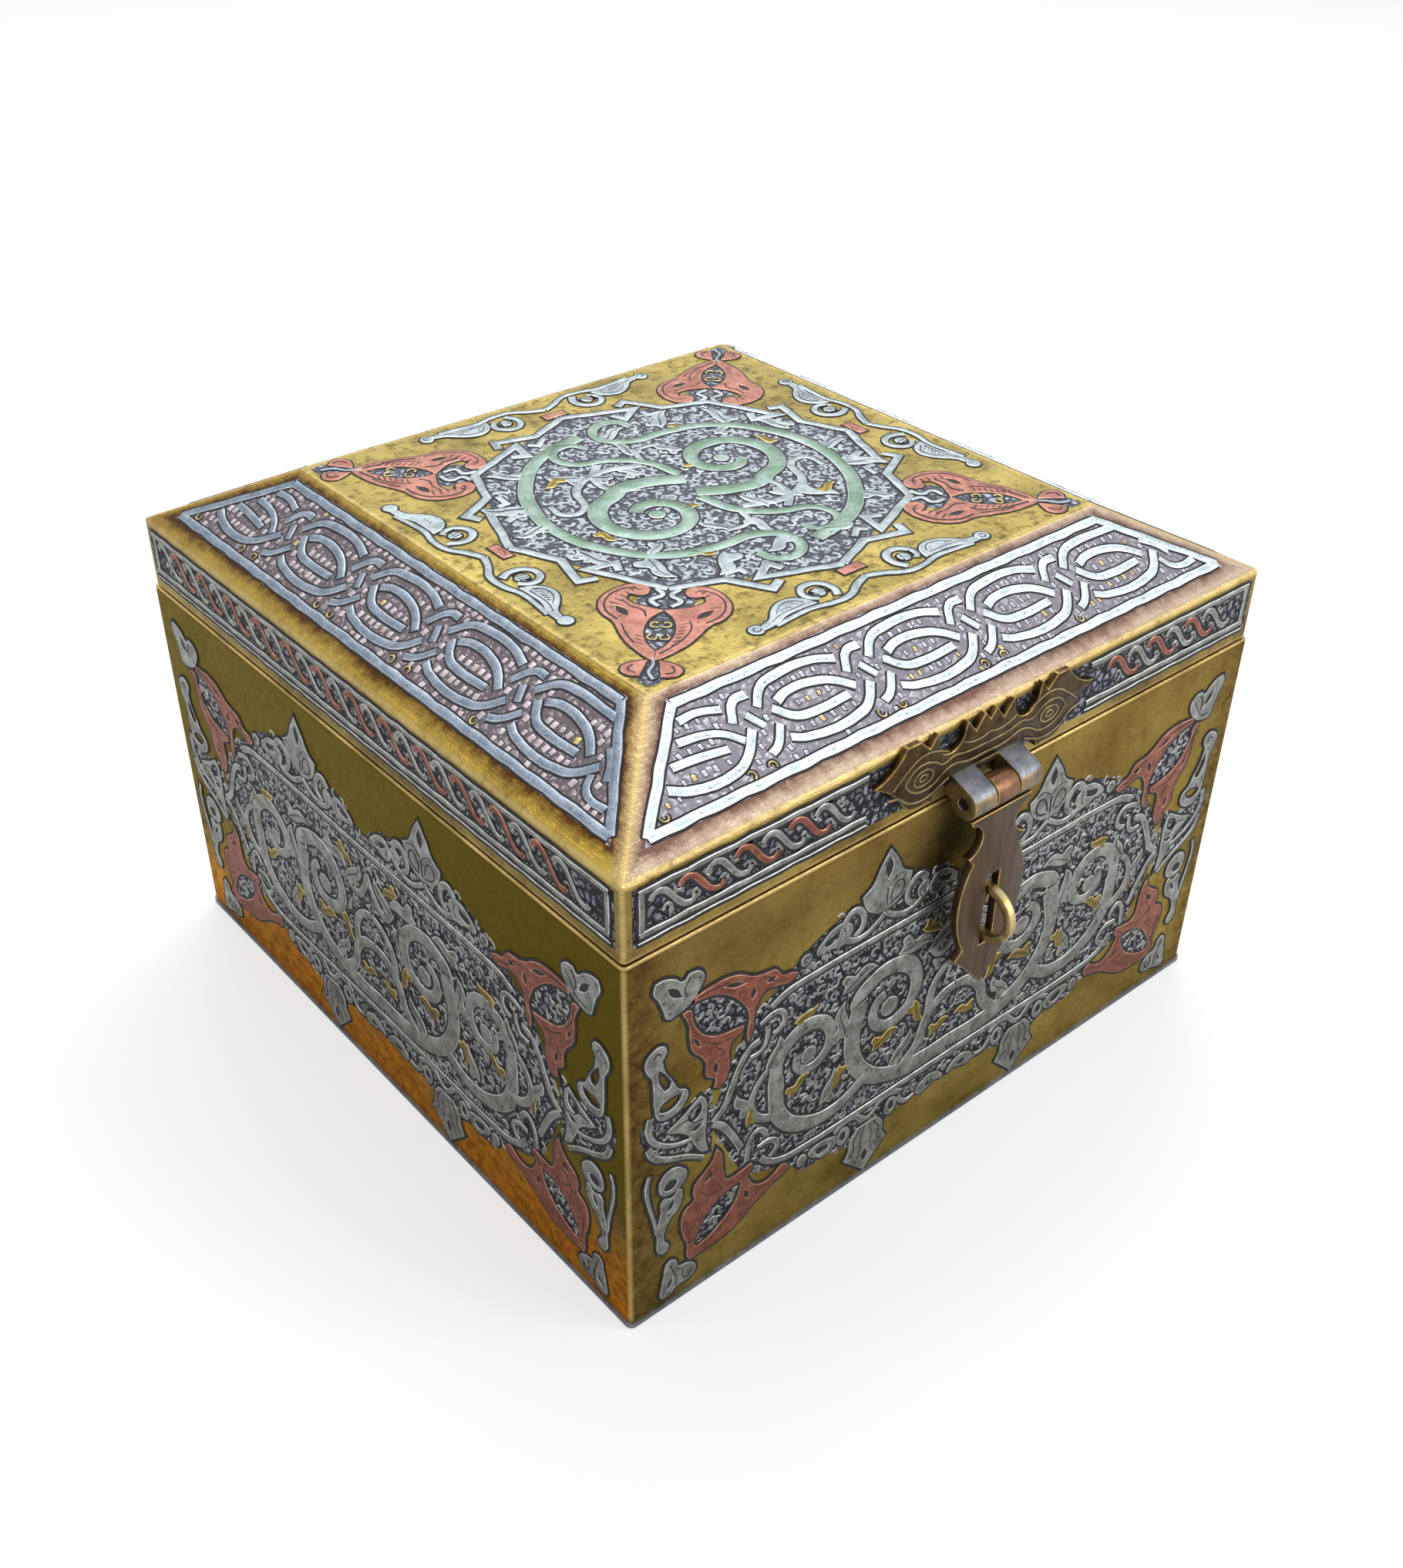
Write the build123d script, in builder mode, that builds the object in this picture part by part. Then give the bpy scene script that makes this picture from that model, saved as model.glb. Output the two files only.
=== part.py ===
"""Square book casket of inlaid brass sheet on a wood lining.

Four mitred wall plates stand on a soldered base plate. The hipped lid is made of four folded
side sheets and a flat top plate. It turns on two butt hinges at the back and is held shut by a
pierced hasp that drops over a staple on the front. Silver and copper inlay lies on every face.

Millimetres. X runs to the right along the front, Y to the back, Z up. The origin is the centre
of the underside of the base plate.
"""
import os
from math import atan2, cos, hypot, radians, sin

from build123d import *

os.makedirs("parts", exist_ok=True)

# Body shell
body_width = 160.0
body_depth = 160.0
body_height = 84.4
wall_thick = 1.2
base_thick = 1.0
corner_radius = 1.0
base_edge_chamfer = 0.3
solder_proud = 0.4
solder_below = 0.6
solder_above = 0.5

# Lid shell
lid_inset = 0.4
seam_gap = 1.2
rim_height = 14.8
slope_rise = 12.6
slope_run = 24.2
lid_thick = 1.2
eave_radius = 1.5

# Wood lining
lining_fit = 0.1
lining_thick = 5.0
lip_height = 5.0
lip_shoulder_drop = 0.5
lip_clearance = 0.5
lid_rest_gap = 0.2
lid_lining_thick = 4.0
lid_panel_thick = 3.0

# Pins and their running fit
pin_clearance = 0.05
knuckle_end_gap = 0.15
pin_end_recess = 0.5

# Front barrel, shared by the lid leaf and the hasp
barrel_radius = 3.0
barrel_stand_off = 1.0
barrel_above_seam = 0.4
barrel_length = 17.5
front_pin_radius = 1.1
leaf_slope_rise = 4.9

# Ornamental plate that carries the front leaf
ornament_thick = 1.3
ornament_half_length = 28.2
ornament_height = 15.4
ornament_shoulder = 19.0
ornament_bite_radius = 3.2
ornament_bite_offset = 9.6
ornament_tip_height = 10.2
ornament_notch_radius = 2.4
ornament_foot_height = 1.6
ornament_valley = 2.4
ornament_deep_valley = 3.4
ornament_bite_drop = 2.2
ornament_bite_land = 0.5
ornament_shoulder_top = 3.2
ornament_haunch = 2.2

# Hasp
hasp_thick = 1.8
hasp_top_gap = 0.4
hasp_tip_length = 9.9
hasp_top_half_width = 8.0
hasp_neck_half_width = 4.4
hasp_belly_half_width = 8.8
hasp_slot_width = 3.4
hasp_slot_end_gap = 0.8
hasp_slot_above_staple = 3.0
hasp_strip_thick = 1.0
hasp_strip_gap = 1.9
hasp_ledge = 1.2
hasp_neck_drop = 4.4
hasp_wing_drop = 8.2
hasp_waist_drop = 9.9
hasp_ledge_taper = 0.6
hasp_wing_half_width = 7.6
hasp_waist_half_width = 6.0
hasp_tail_half_width = 6.2
hasp_fin_half_width = 8.2
hasp_tail_above_slot = 0.9
hasp_fin_below_slot = 0.8

# Staple
staple_section = 1.6
staple_width = 1.8
staple_outer_radius = 6.2
staple_leg = 5.5
staple_drop = 26.7
staple_hole_clearance = 0.05

# Back hinges
hinge_spacing = 92.0
hinge_length = 24.0
hinge_barrel_radius = 2.4
hinge_pin_radius = 0.9
hinge_stand_off = 0.4
hinge_leaf_thick = 1.0
hinge_leaf_drop = 9.5
hinge_leaf_gap = 0.5
hinge_knuckles = 5
hinge_axis_below_seam = 0.6
rivet_radius = 1.1
rivet_head = 0.7
rivets_per_leaf = 3
rivet_edge = 4.0

# Inlay: height above the sheet, strap widths and margins
inlay_proud = 0.3
frame_strap = 1.7
frame_margin_top = 22.9
frame_margin_bottom = 18.7
frame_apex_margin = 18.6
frame_corner_margin = 34.0
frame_shoulder_margin = 29.0
frame_shoulder_drop = 6.0
slope_strap = 1.9
slope_strap_low = 3.9
slope_strap_top_margin = 2.6
slope_strap_side_margin = 3.4
rim_strap = 1.4
rim_band_margin = 2.4
rim_band_low = 3.2
rim_band_top_margin = 1.2
medallion_margin = 12.0
medallion_strap = 1.8
knot_outer_radius = 3.4
leaf_tip_margin = 12.6
leaf_tip_rise = 10.4
leaf_long = 24.6
leaf_short = 9.0
leaf_deep = 23.0
leaf_opening_length = 12.0
leaf_opening_width = 4.8
palmette_tip_margin = 10.0
palmette_horn_reach = 1.3
palmette_half_width = 11.4
palmette_opening_length = 13.2
palmette_opening_width = 5.0

# Worked-out heights, floor up
lining_floor_top = base_thick + lining_thick
seam_z = body_height + seam_gap
eave_z = seam_z + rim_height
top_z = eave_z + slope_rise
lip_top = body_height + lip_height
lid_lining_low = lip_top + lid_rest_gap

# Worked-out staple and slot
staple_height = seam_z - staple_drop
staple_top = staple_height + staple_outer_radius
staple_low = staple_height - staple_outer_radius
slot_top = staple_top + hasp_slot_above_staple
slot_low = staple_low - hasp_slot_end_gap

# Worked-out lid slope
slope_angle = atan2(slope_rise, slope_run)
slope_length = hypot(slope_rise, slope_run)
lid_thick_up = lid_thick / cos(slope_angle)

# Worked-out places on the front and back
front_face = -body_depth / 2
back_face = body_depth / 2
barrel_y = front_face - barrel_stand_off - barrel_radius
barrel_z = seam_z + barrel_above_seam
hinge_y = back_face + hinge_stand_off + hinge_barrel_radius
hinge_z = seam_z - hinge_axis_below_seam

# The mitre cuts start a little outside the corner and reach past the lid's slopes
mitre_run_out = 2.0
mitre_depth = slope_run + lid_lining_thick + lining_thick

# Each side: outward normal, direction to the right seen from outside, span and reach
sides = {
    "front": (Vector(0, -1, 0), Vector(1, 0, 0), body_width, body_depth / 2),
    "right": (Vector(1, 0, 0), Vector(0, 1, 0), body_depth, body_width / 2),
    "back": (Vector(0, 1, 0), Vector(-1, 0, 0), body_width, body_depth / 2),
    "left": (Vector(-1, 0, 0), Vector(0, -1, 0), body_depth, body_width / 2),
}
up = Vector(0, 0, 1)


def section_plane(side, inset=0.0):
    """Cross-section of a side: local x runs inward from its face, local y runs up."""
    normal, along, span, reach = sides[side]
    return Plane(origin=normal * (reach - inset), x_dir=normal * -1, z_dir=along)


def plan_plane(side, inset=0.0):
    """Plan of a side: local x runs along it, local y inward from its face."""
    normal, along, span, reach = sides[side]
    return Plane(origin=normal * (reach - inset), x_dir=along, z_dir=up)


def face_plane(side, inset=0.0, height=0.0):
    """Outer face of a side: local x to the right, local y up, local z outward."""
    normal, along, span, reach = sides[side]
    return Plane(origin=normal * (reach - inset) + up * height, x_dir=along, z_dir=normal)


def slope_plane(side):
    """Outer face of a lid slope: local y climbs from the eave, local z points outward."""
    normal, along, span, reach = sides[side]
    outward = normal * sin(slope_angle) + up * cos(slope_angle)
    return Plane(origin=normal * (reach - lid_inset) + up * eave_z, x_dir=along, z_dir=outward)


def mitre_outline(length):
    """Plan of one side between the 45 degree cuts through its two corners."""
    Polyline(
        (-length / 2 - mitre_run_out, -mitre_run_out),
        (length / 2 + mitre_run_out, -mitre_run_out),
        (length / 2 - mitre_depth, mitre_depth),
        (-length / 2 + mitre_depth, mitre_depth),
        close=True,
    )


def inner_slope_z(inward):
    """Height of the lid's inner slope at a distance inward from the lid's outer face."""
    return eave_z + inward * slope_rise / slope_run - lid_thick_up


def save(part, label):
    """Label a finished piece and write it as one STEP file."""
    part.label = label
    export_step(part, f"parts/{label}.step")


# Base plate
with BuildPart() as base_plate:
    with BuildSketch(Plane.XY):
        RectangleRounded(body_width, body_depth, corner_radius)
    extrude(amount=base_thick)
    chamfer(base_plate.faces().sort_by(Axis.Z)[0].edges(), base_edge_chamfer)
save(base_plate.part, "base_plate")

# Solder bead round the joint of the walls and the base
with BuildPart() as base_solder:
    with BuildSketch(Plane.XY.offset(base_thick - solder_below)):
        RectangleRounded(
            body_width + 2 * solder_proud,
            body_depth + 2 * solder_proud,
            corner_radius + solder_proud,
        )
        RectangleRounded(body_width, body_depth, corner_radius, mode=Mode.SUBTRACT)
    extrude(amount=solder_below + solder_above)
save(base_solder.part, "base_solder")

# Staple legs as seen from the front: width across, section up
staple_leg_height = staple_outer_radius - staple_section / 2
staple_leg_places = [(0, staple_height + staple_leg_height), (0, staple_height - staple_leg_height)]

# Wall plates, mitred at the corners; the front one is pierced for the staple
for side, (normal, along, span, reach) in sides.items():
    with BuildPart() as wall:
        with BuildSketch(section_plane(side)):
            with Locations((0, base_thick)):
                Rectangle(wall_thick, body_height - base_thick, align=(Align.MIN, Align.MIN))
        extrude(amount=span / 2, both=True)
        with BuildSketch(plan_plane(side)):
            with BuildLine():
                mitre_outline(span)
            make_face()
        extrude(amount=body_height, mode=Mode.INTERSECT)
        with BuildSketch(Plane.XY):
            RectangleRounded(body_width, body_depth, corner_radius)
        extrude(amount=body_height, mode=Mode.INTERSECT)
        if side == "front":
            with BuildSketch(face_plane(side)):
                with Locations(*staple_leg_places):
                    Rectangle(
                        staple_width + 2 * staple_hole_clearance,
                        staple_section + 2 * staple_hole_clearance,
                    )
            extrude(amount=-wall_thick, mode=Mode.SUBTRACT)
    save(wall.part, f"{side}_plate")

# Lining floor
lining_inset = wall_thick + lining_fit
with BuildPart() as lining_floor:
    with BuildSketch(Plane.XY.offset(base_thick)):
        Rectangle(body_width - 2 * lining_inset, body_depth - 2 * lining_inset)
    extrude(amount=lining_thick)
save(lining_floor.part, "lining_floor")

# Lining boards with a stepped lip that the lid shuts over
lip_step = max(lid_inset + lid_thick + lip_clearance - lining_inset, lining_fit)
lip_shoulder = body_height - lip_shoulder_drop
for side, (normal, along, span, reach) in sides.items():
    with BuildPart() as board:
        with BuildSketch(section_plane(side, lining_inset)):
            with BuildLine():
                Polyline(
                    (0, lining_floor_top),
                    (0, lip_shoulder),
                    (lip_step, lip_shoulder),
                    (lip_step, lip_top),
                    (lining_thick, lip_top),
                    (lining_thick, lining_floor_top),
                    close=True,
                )
            make_face()
        extrude(amount=span / 2, both=True)
        with BuildSketch(plan_plane(side, lining_inset)):
            with BuildLine():
                mitre_outline(span - 2 * lining_inset)
            make_face()
        extrude(amount=lip_top, mode=Mode.INTERSECT)
    save(board.part, f"lining_{side}")

# Lid sides: rim, rounded eave and slope folded from one sheet
for side, (normal, along, span, reach) in sides.items():
    with BuildPart() as lid_side:
        with BuildSketch(section_plane(side, lid_inset)):
            with BuildLine():
                FilletPolyline((0, seam_z), (0, eave_z), (slope_run, top_z), radius=eave_radius)
                Polyline(
                    (slope_run, top_z),
                    (slope_run, inner_slope_z(slope_run)),
                    (lid_thick, inner_slope_z(lid_thick)),
                    (lid_thick, seam_z),
                    (0, seam_z),
                )
            make_face()
        extrude(amount=span / 2, both=True)
        with BuildSketch(plan_plane(side, lid_inset)):
            with BuildLine():
                mitre_outline(span - 2 * lid_inset)
            make_face()
        extrude(amount=top_z, mode=Mode.INTERSECT)
        with BuildSketch(Plane.XY):
            RectangleRounded(body_width - 2 * lid_inset, body_depth - 2 * lid_inset, corner_radius)
        extrude(amount=top_z, mode=Mode.INTERSECT)
    save(lid_side.part, f"lid_{side}")

# Lid top plate, soldered between the slopes
top_width = body_width - 2 * (lid_inset + slope_run)
top_depth = body_depth - 2 * (lid_inset + slope_run)
with BuildPart() as lid_top:
    with BuildSketch(Plane.XY.offset(top_z - lid_thick)):
        Rectangle(top_width, top_depth)
    extrude(amount=lid_thick)
save(lid_top.part, "lid_top_plate")

# Lid lining: a mitred board inside each rim
lid_lining_inset = lid_inset + lid_thick + lining_fit
lid_lining_outer = inner_slope_z(lid_thick + lining_fit) - lining_fit
lid_lining_inner = inner_slope_z(lid_thick + lining_fit + lid_lining_thick) - lining_fit
for side, (normal, along, span, reach) in sides.items():
    with BuildPart() as lid_board:
        with BuildSketch(section_plane(side, lid_lining_inset)):
            with BuildLine():
                Polyline(
                    (0, lid_lining_low),
                    (0, lid_lining_outer),
                    (lid_lining_thick, lid_lining_inner),
                    (lid_lining_thick, lid_lining_low),
                    close=True,
                )
            make_face()
        extrude(amount=span / 2, both=True)
        with BuildSketch(plan_plane(side, lid_lining_inset)):
            with BuildLine():
                mitre_outline(span - 2 * lid_lining_inset)
            make_face()
        extrude(amount=top_z, mode=Mode.INTERSECT)
    save(lid_board.part, f"lid_lining_{side}")

# Lid lining panel under the top plate, its edges bevelled to the slopes
panel_top = top_z - lid_thick
panel_low = panel_top - lid_panel_thick


def panel_inset(height):
    """Distance from the lid's outer face to the panel's edge at a height."""
    return (height + lining_fit + lid_thick_up - eave_z) * slope_run / slope_rise


with BuildPart() as lid_panel:
    for height in (panel_low, panel_top):
        with BuildSketch(Plane.XY.offset(height)):
            Rectangle(
                body_width - 2 * (lid_inset + panel_inset(height)),
                body_depth - 2 * (lid_inset + panel_inset(height)),
            )
    loft()
save(lid_panel.part, "lid_lining_panel")

# Ornamental plate on the front rim: cusped top edge, pointed ends, notched lower edge
bite_left = ornament_bite_offset - ornament_bite_radius
ornament_middle = bite_left - ornament_bite_land
bite_z = ornament_height - ornament_bite_drop
shoulder_left = ornament_shoulder - ornament_shoulder_top / 2
shoulder_right = ornament_shoulder + ornament_shoulder_top / 2
haunch_x = shoulder_right + ornament_bite_land / 2
haunch_z = ornament_foot_height + ornament_haunch
leaf_half_width = barrel_length / 2
ornament_low = leaf_slope_rise
notch_centre = leaf_half_width + ornament_notch_radius
foot_end = notch_centre + ornament_notch_radius
bite_right = ornament_bite_offset + ornament_bite_radius
lid_front = face_plane("front", lid_inset, seam_z)

with BuildPart() as ornament_plate:
    with BuildSketch(lid_front):
        with BuildLine():
            Polyline(
                (0, ornament_low),
                (0, ornament_height - ornament_valley),
                (ornament_middle / 4, ornament_height - ornament_bite_land),
                (ornament_middle * 0.6, ornament_height - ornament_deep_valley),
                (ornament_middle, ornament_height - ornament_bite_land),
                (bite_left, bite_z),
            )
            ThreePointArc(
                (bite_left, bite_z),
                (ornament_bite_offset, bite_z - ornament_bite_radius),
                (bite_right, bite_z),
            )
            Polyline(
                (bite_right, bite_z),
                (bite_right + ornament_bite_land, ornament_height),
                ((bite_right + shoulder_left) / 2, ornament_height - ornament_valley),
                (shoulder_left, ornament_height),
                (shoulder_right, ornament_height),
            )
            ThreePointArc(
                (shoulder_right, ornament_height),
                ((2 * shoulder_right + ornament_half_length) / 3, ornament_tip_height + ornament_haunch),
                (ornament_half_length, ornament_tip_height),
            )
            ThreePointArc(
                (ornament_half_length, ornament_tip_height),
                ((haunch_x + ornament_half_length) / 2, (ornament_tip_height + haunch_z) / 2 + 1.0),
                (haunch_x, haunch_z),
            )
            ThreePointArc(
                (haunch_x, haunch_z),
                (ornament_shoulder - ornament_bite_land, ornament_foot_height + ornament_bite_land),
                (foot_end + ornament_foot_height, ornament_foot_height + ornament_bite_land),
            )
            Line(
                (foot_end + ornament_foot_height, ornament_foot_height + ornament_bite_land),
                (foot_end, ornament_foot_height),
            )
            ThreePointArc(
                (foot_end, ornament_foot_height),
                (foot_end - ornament_notch_radius * 0.4, (ornament_foot_height + ornament_low) / 2 + 0.6),
                (notch_centre, ornament_low),
            )
            Line((notch_centre, ornament_low), (0, ornament_low))
        make_face()
        mirror(about=Plane.YZ)
    extrude(amount=ornament_thick)
save(ornament_plate.part, "lid_ornament_plate")

# Front leaf: soldered under the ornamental plate, its two outer knuckles hold the pin
knuckle_length = (barrel_length - 4 * knuckle_end_gap) / 3
bore_radius = front_pin_radius + pin_clearance
leaf_rim_y = front_face + lid_inset
leaf_face_y = leaf_rim_y - ornament_thick
leaf_top_z = seam_z + ornament_low
barrel_section = Plane(origin=(0, barrel_y, barrel_z), x_dir=(0, 1, 0), z_dir=(1, 0, 0))
outer_knuckle_x = (barrel_length - knuckle_length) / 2

with BuildPart() as front_leaf:
    for place in (-outer_knuckle_x, outer_knuckle_x):
        with BuildSketch(barrel_section.offset(place)):
            with BuildLine():
                Polyline(
                    (leaf_rim_y - barrel_y, leaf_top_z - barrel_z),
                    (leaf_face_y - barrel_y, leaf_top_z - barrel_z),
                    (-barrel_radius * sin(slope_angle), barrel_radius * cos(slope_angle)),
                    (0, 0),
                    (leaf_rim_y - barrel_y, 0),
                    close=True,
                )
            make_face()
            Circle(barrel_radius)
            Circle(bore_radius, mode=Mode.SUBTRACT)
        extrude(amount=knuckle_length / 2, both=True)
    with BuildSketch(barrel_section):
        with BuildLine():
            Polyline(
                (leaf_rim_y - barrel_y, leaf_top_z - barrel_z),
                (leaf_face_y - barrel_y, leaf_top_z - barrel_z),
                (leaf_face_y - barrel_y, barrel_radius + knuckle_end_gap),
                (leaf_rim_y - barrel_y, barrel_radius + knuckle_end_gap),
                close=True,
            )
        make_face()
    extrude(amount=outer_knuckle_x, both=True)
save(front_leaf.part, "front_hinge_leaf")

with BuildPart() as front_pin:
    with BuildSketch(barrel_section):
        Circle(front_pin_radius)
    extrude(amount=barrel_length / 2 - pin_end_recess, both=True)
save(front_pin.part, "front_hinge_pin")

# Hasp: middle knuckle with a strip that runs down behind the pierced plate
hasp_back_y = barrel_y
hasp_top_z = barrel_z - barrel_radius - hasp_top_gap
strip_length = barrel_z - slot_top - hasp_strip_gap
with BuildPart() as hasp_knuckle:
    with BuildSketch(barrel_section):
        Circle(barrel_radius)
        Rectangle(hasp_strip_thick, strip_length, align=(Align.MIN, Align.MAX))
        Circle(bore_radius, mode=Mode.SUBTRACT)
    extrude(amount=knuckle_length / 2, both=True)
save(hasp_knuckle.part, "hasp_knuckle")

hasp_tip_z = slot_low - hasp_tip_length
hasp_front = Plane(origin=(0, hasp_back_y, 0), x_dir=(1, 0, 0), z_dir=(0, -1, 0))
neck_z = hasp_top_z - hasp_neck_drop
wing_z = hasp_top_z - hasp_wing_drop
waist_z = hasp_top_z - hasp_waist_drop
belly_z = (waist_z + slot_low) / 2
tail_z = slot_low + hasp_tail_above_slot
fin_z = slot_low - hasp_fin_below_slot

with BuildPart() as hasp_plate:
    with BuildSketch(hasp_front):
        with BuildLine():
            Polyline(
                (0, hasp_top_z),
                (hasp_top_half_width, hasp_top_z),
                (hasp_top_half_width - hasp_ledge_taper, hasp_top_z - hasp_ledge),
            )
            ThreePointArc(
                (hasp_top_half_width - hasp_ledge_taper, hasp_top_z - hasp_ledge),
                (hasp_neck_half_width, neck_z),
                (hasp_wing_half_width, wing_z),
            )
            Line((hasp_wing_half_width, wing_z), (hasp_waist_half_width, waist_z))
            ThreePointArc(
                (hasp_waist_half_width, waist_z),
                (hasp_belly_half_width, belly_z),
                (hasp_tail_half_width, tail_z),
            )
            Line((hasp_tail_half_width, tail_z), (hasp_fin_half_width, fin_z))
            ThreePointArc(
                (hasp_fin_half_width, fin_z),
                (hasp_neck_half_width - hasp_ledge_taper, (fin_z + hasp_tip_z) / 2),
                (0, hasp_tip_z),
            )
            Line((0, hasp_tip_z), (0, hasp_top_z))
        make_face()
        mirror(about=Plane.YZ)
        with Locations((0, (slot_top + slot_low) / 2)):
            Rectangle(hasp_slot_width, slot_top - slot_low, mode=Mode.SUBTRACT)
    extrude(amount=hasp_thick)
save(hasp_plate.part, "hasp_plate")

# Staple: a strip bent to a half ring, its legs let through the front plate
staple_section_plane = Plane(
    origin=(0, front_face, staple_height),
    x_dir=(0, -1, 0),
    z_dir=(-1, 0, 0),
)
with BuildPart() as staple:
    with BuildSketch(staple_section_plane):
        with Locations((staple_leg, 0)):
            Circle(staple_outer_radius)
            Circle(staple_outer_radius - staple_section, mode=Mode.SUBTRACT)
            Rectangle(
                staple_outer_radius,
                2 * staple_outer_radius,
                align=(Align.MAX, Align.CENTER),
                mode=Mode.SUBTRACT,
            )
        for leg in (staple_leg_height, -staple_leg_height):
            with Locations((-wall_thick, leg)):
                Rectangle(
                    staple_leg + wall_thick,
                    staple_section,
                    align=(Align.MIN, Align.CENTER),
                )
    extrude(amount=staple_width / 2, both=True)
save(staple.part, "staple")

# Back hinges: knuckles share the barrel in turn, the body's leaf first
hinge_section = Plane(origin=(0, hinge_y, hinge_z), x_dir=(0, 1, 0), z_dir=(1, 0, 0))
hinge_places = (-hinge_spacing / 2, hinge_spacing / 2)
hinge_bore = hinge_pin_radius + pin_clearance
pitch = hinge_length / hinge_knuckles
hinge_knuckle_half = pitch / 2 - knuckle_end_gap / 2
leaf_reach = hinge_barrel_radius + hinge_leaf_gap
body_leaf_y = back_face - hinge_y
lid_leaf_y = back_face - lid_inset - hinge_y


def hinge_leaf(first, leaf_y, direction):
    """One leaf of each back hinge, with every second knuckle from first; direction 1 is up."""
    with BuildPart() as leaf:
        for place in hinge_places:
            with BuildSketch(hinge_section.offset(place)):
                with Locations((leaf_y, direction * (leaf_reach + hinge_leaf_drop / 2))):
                    Rectangle(hinge_leaf_thick, hinge_leaf_drop, align=(Align.MIN, Align.CENTER))
            extrude(amount=hinge_length / 2, both=True)
            for k in range(first, hinge_knuckles, 2):
                with BuildSketch(hinge_section.offset(place - hinge_length / 2 + (k + 0.5) * pitch)):
                    Circle(hinge_barrel_radius)
                    with Locations((leaf_y / 2, direction * (leaf_reach + hinge_bore) / 2)):
                        Rectangle(-leaf_y, leaf_reach - hinge_bore)
                    Circle(hinge_bore, mode=Mode.SUBTRACT)
                extrude(amount=hinge_knuckle_half, both=True)
    return leaf.part


save(hinge_leaf(0, body_leaf_y, -1), "back_hinge_body_leaves")
save(hinge_leaf(1, lid_leaf_y, 1), "back_hinge_lid_leaves")

with BuildPart() as hinge_pins:
    for place in hinge_places:
        with BuildSketch(hinge_section.offset(place)):
            Circle(hinge_pin_radius)
        extrude(amount=hinge_length / 2 - pin_end_recess, both=True)
save(hinge_pins.part, "back_hinge_pins")


def leaf_rivets(leaf_y, direction):
    """Domed rivet heads in a row on each leaf."""
    row = leaf_y + hinge_leaf_thick
    height = direction * (leaf_reach + hinge_leaf_drop / 2)
    step = (hinge_length - 2 * rivet_edge) / (rivets_per_leaf - 1)
    head = Plane(origin=(0, hinge_y + row, hinge_z + height), x_dir=(-1, 0, 0), z_dir=(0, 1, 0))
    with BuildPart() as rivets:
        for place in hinge_places:
            with BuildSketch(head):
                with Locations((-place, 0)):
                    with GridLocations(step, 0, rivets_per_leaf, 1):
                        Circle(rivet_radius)
            extrude(amount=rivet_head)
        tops = rivets.faces().filter_by(Axis.Y).group_by(Axis.Y)[-1]
        fillet(tops.edges(), rivet_head * 0.8)
    return rivets.part


save(leaf_rivets(body_leaf_y, -1), "back_hinge_body_rivets")
save(leaf_rivets(lid_leaf_y, 1), "back_hinge_lid_rivets")


def frame_points(span):
    """Right half of the six-sided silver frame on a wall, from the top line to the bottom."""
    half = span / 2
    top = body_height - frame_margin_top
    low = frame_margin_bottom
    return [
        (half - frame_corner_margin, top),
        (half - frame_shoulder_margin, top - frame_shoulder_drop),
        (half - frame_apex_margin, (top + low) / 2),
        (half - frame_shoulder_margin, low + frame_shoulder_drop),
        (half - frame_corner_margin, low),
    ]


# Silver frame on each wall
for side, (normal, along, span, reach) in sides.items():
    right = frame_points(span)
    left = [(-x, y) for x, y in reversed(right)]
    with BuildPart() as wall_frame:
        with BuildSketch(face_plane(side)):
            with BuildLine():
                Polyline(*right, *left, close=True)
            make_face()
            offset(amount=-frame_strap, kind=Kind.INTERSECTION, mode=Mode.SUBTRACT)
        extrude(amount=inlay_proud)
    save(wall_frame.part, f"{side}_silver_frame")


def corner_leaf(side, across, rise):
    """Plane of one copper leaf, its x and y pointing at the frame's middle."""
    normal, along, span, reach = sides[side]
    middle = (body_height - frame_margin_top + frame_margin_bottom) / 2
    lift = (body_height - frame_margin_top - frame_margin_bottom) / 2
    sideways = across * (span / 2 - leaf_tip_margin)
    height = middle + rise * (lift + leaf_tip_rise)
    corner = normal * reach + along * sideways + up * height
    return Plane(origin=corner, x_dir=along * -across, z_dir=normal * (across * rise))


# Copper leaves: an open pair of lobes that clasps each corner of the silver frame
for side, (normal, along, span, reach) in sides.items():
    with BuildPart() as leaves:
        for across in (-1, 1):
            for rise in (-1, 1):
                with BuildSketch(corner_leaf(side, across, rise)):
                    with BuildLine():
                        Spline((0, 0), (leaf_long * 0.5, 0.8), (leaf_long, 7.2))
                        Spline((leaf_long, 7.2), (leaf_long * 0.72, 7.6), (leaf_long * 0.58, 9.4))
                        Spline((leaf_long * 0.58, 9.4), (leaf_long * 0.4, 13.6), (leaf_short, leaf_deep))
                        Spline((leaf_short, leaf_deep), (leaf_short * 0.5, leaf_deep * 0.7), (0, 0))
                    make_face()
                    with Locations(Location((leaf_short * 0.92, leaf_deep * 0.29), 42)):
                        Ellipse(leaf_opening_length / 2, leaf_opening_width / 2, mode=Mode.SUBTRACT)
                extrude(amount=inlay_proud * across * rise)
    save(leaves.part, f"{side}_copper_leaves")

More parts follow.
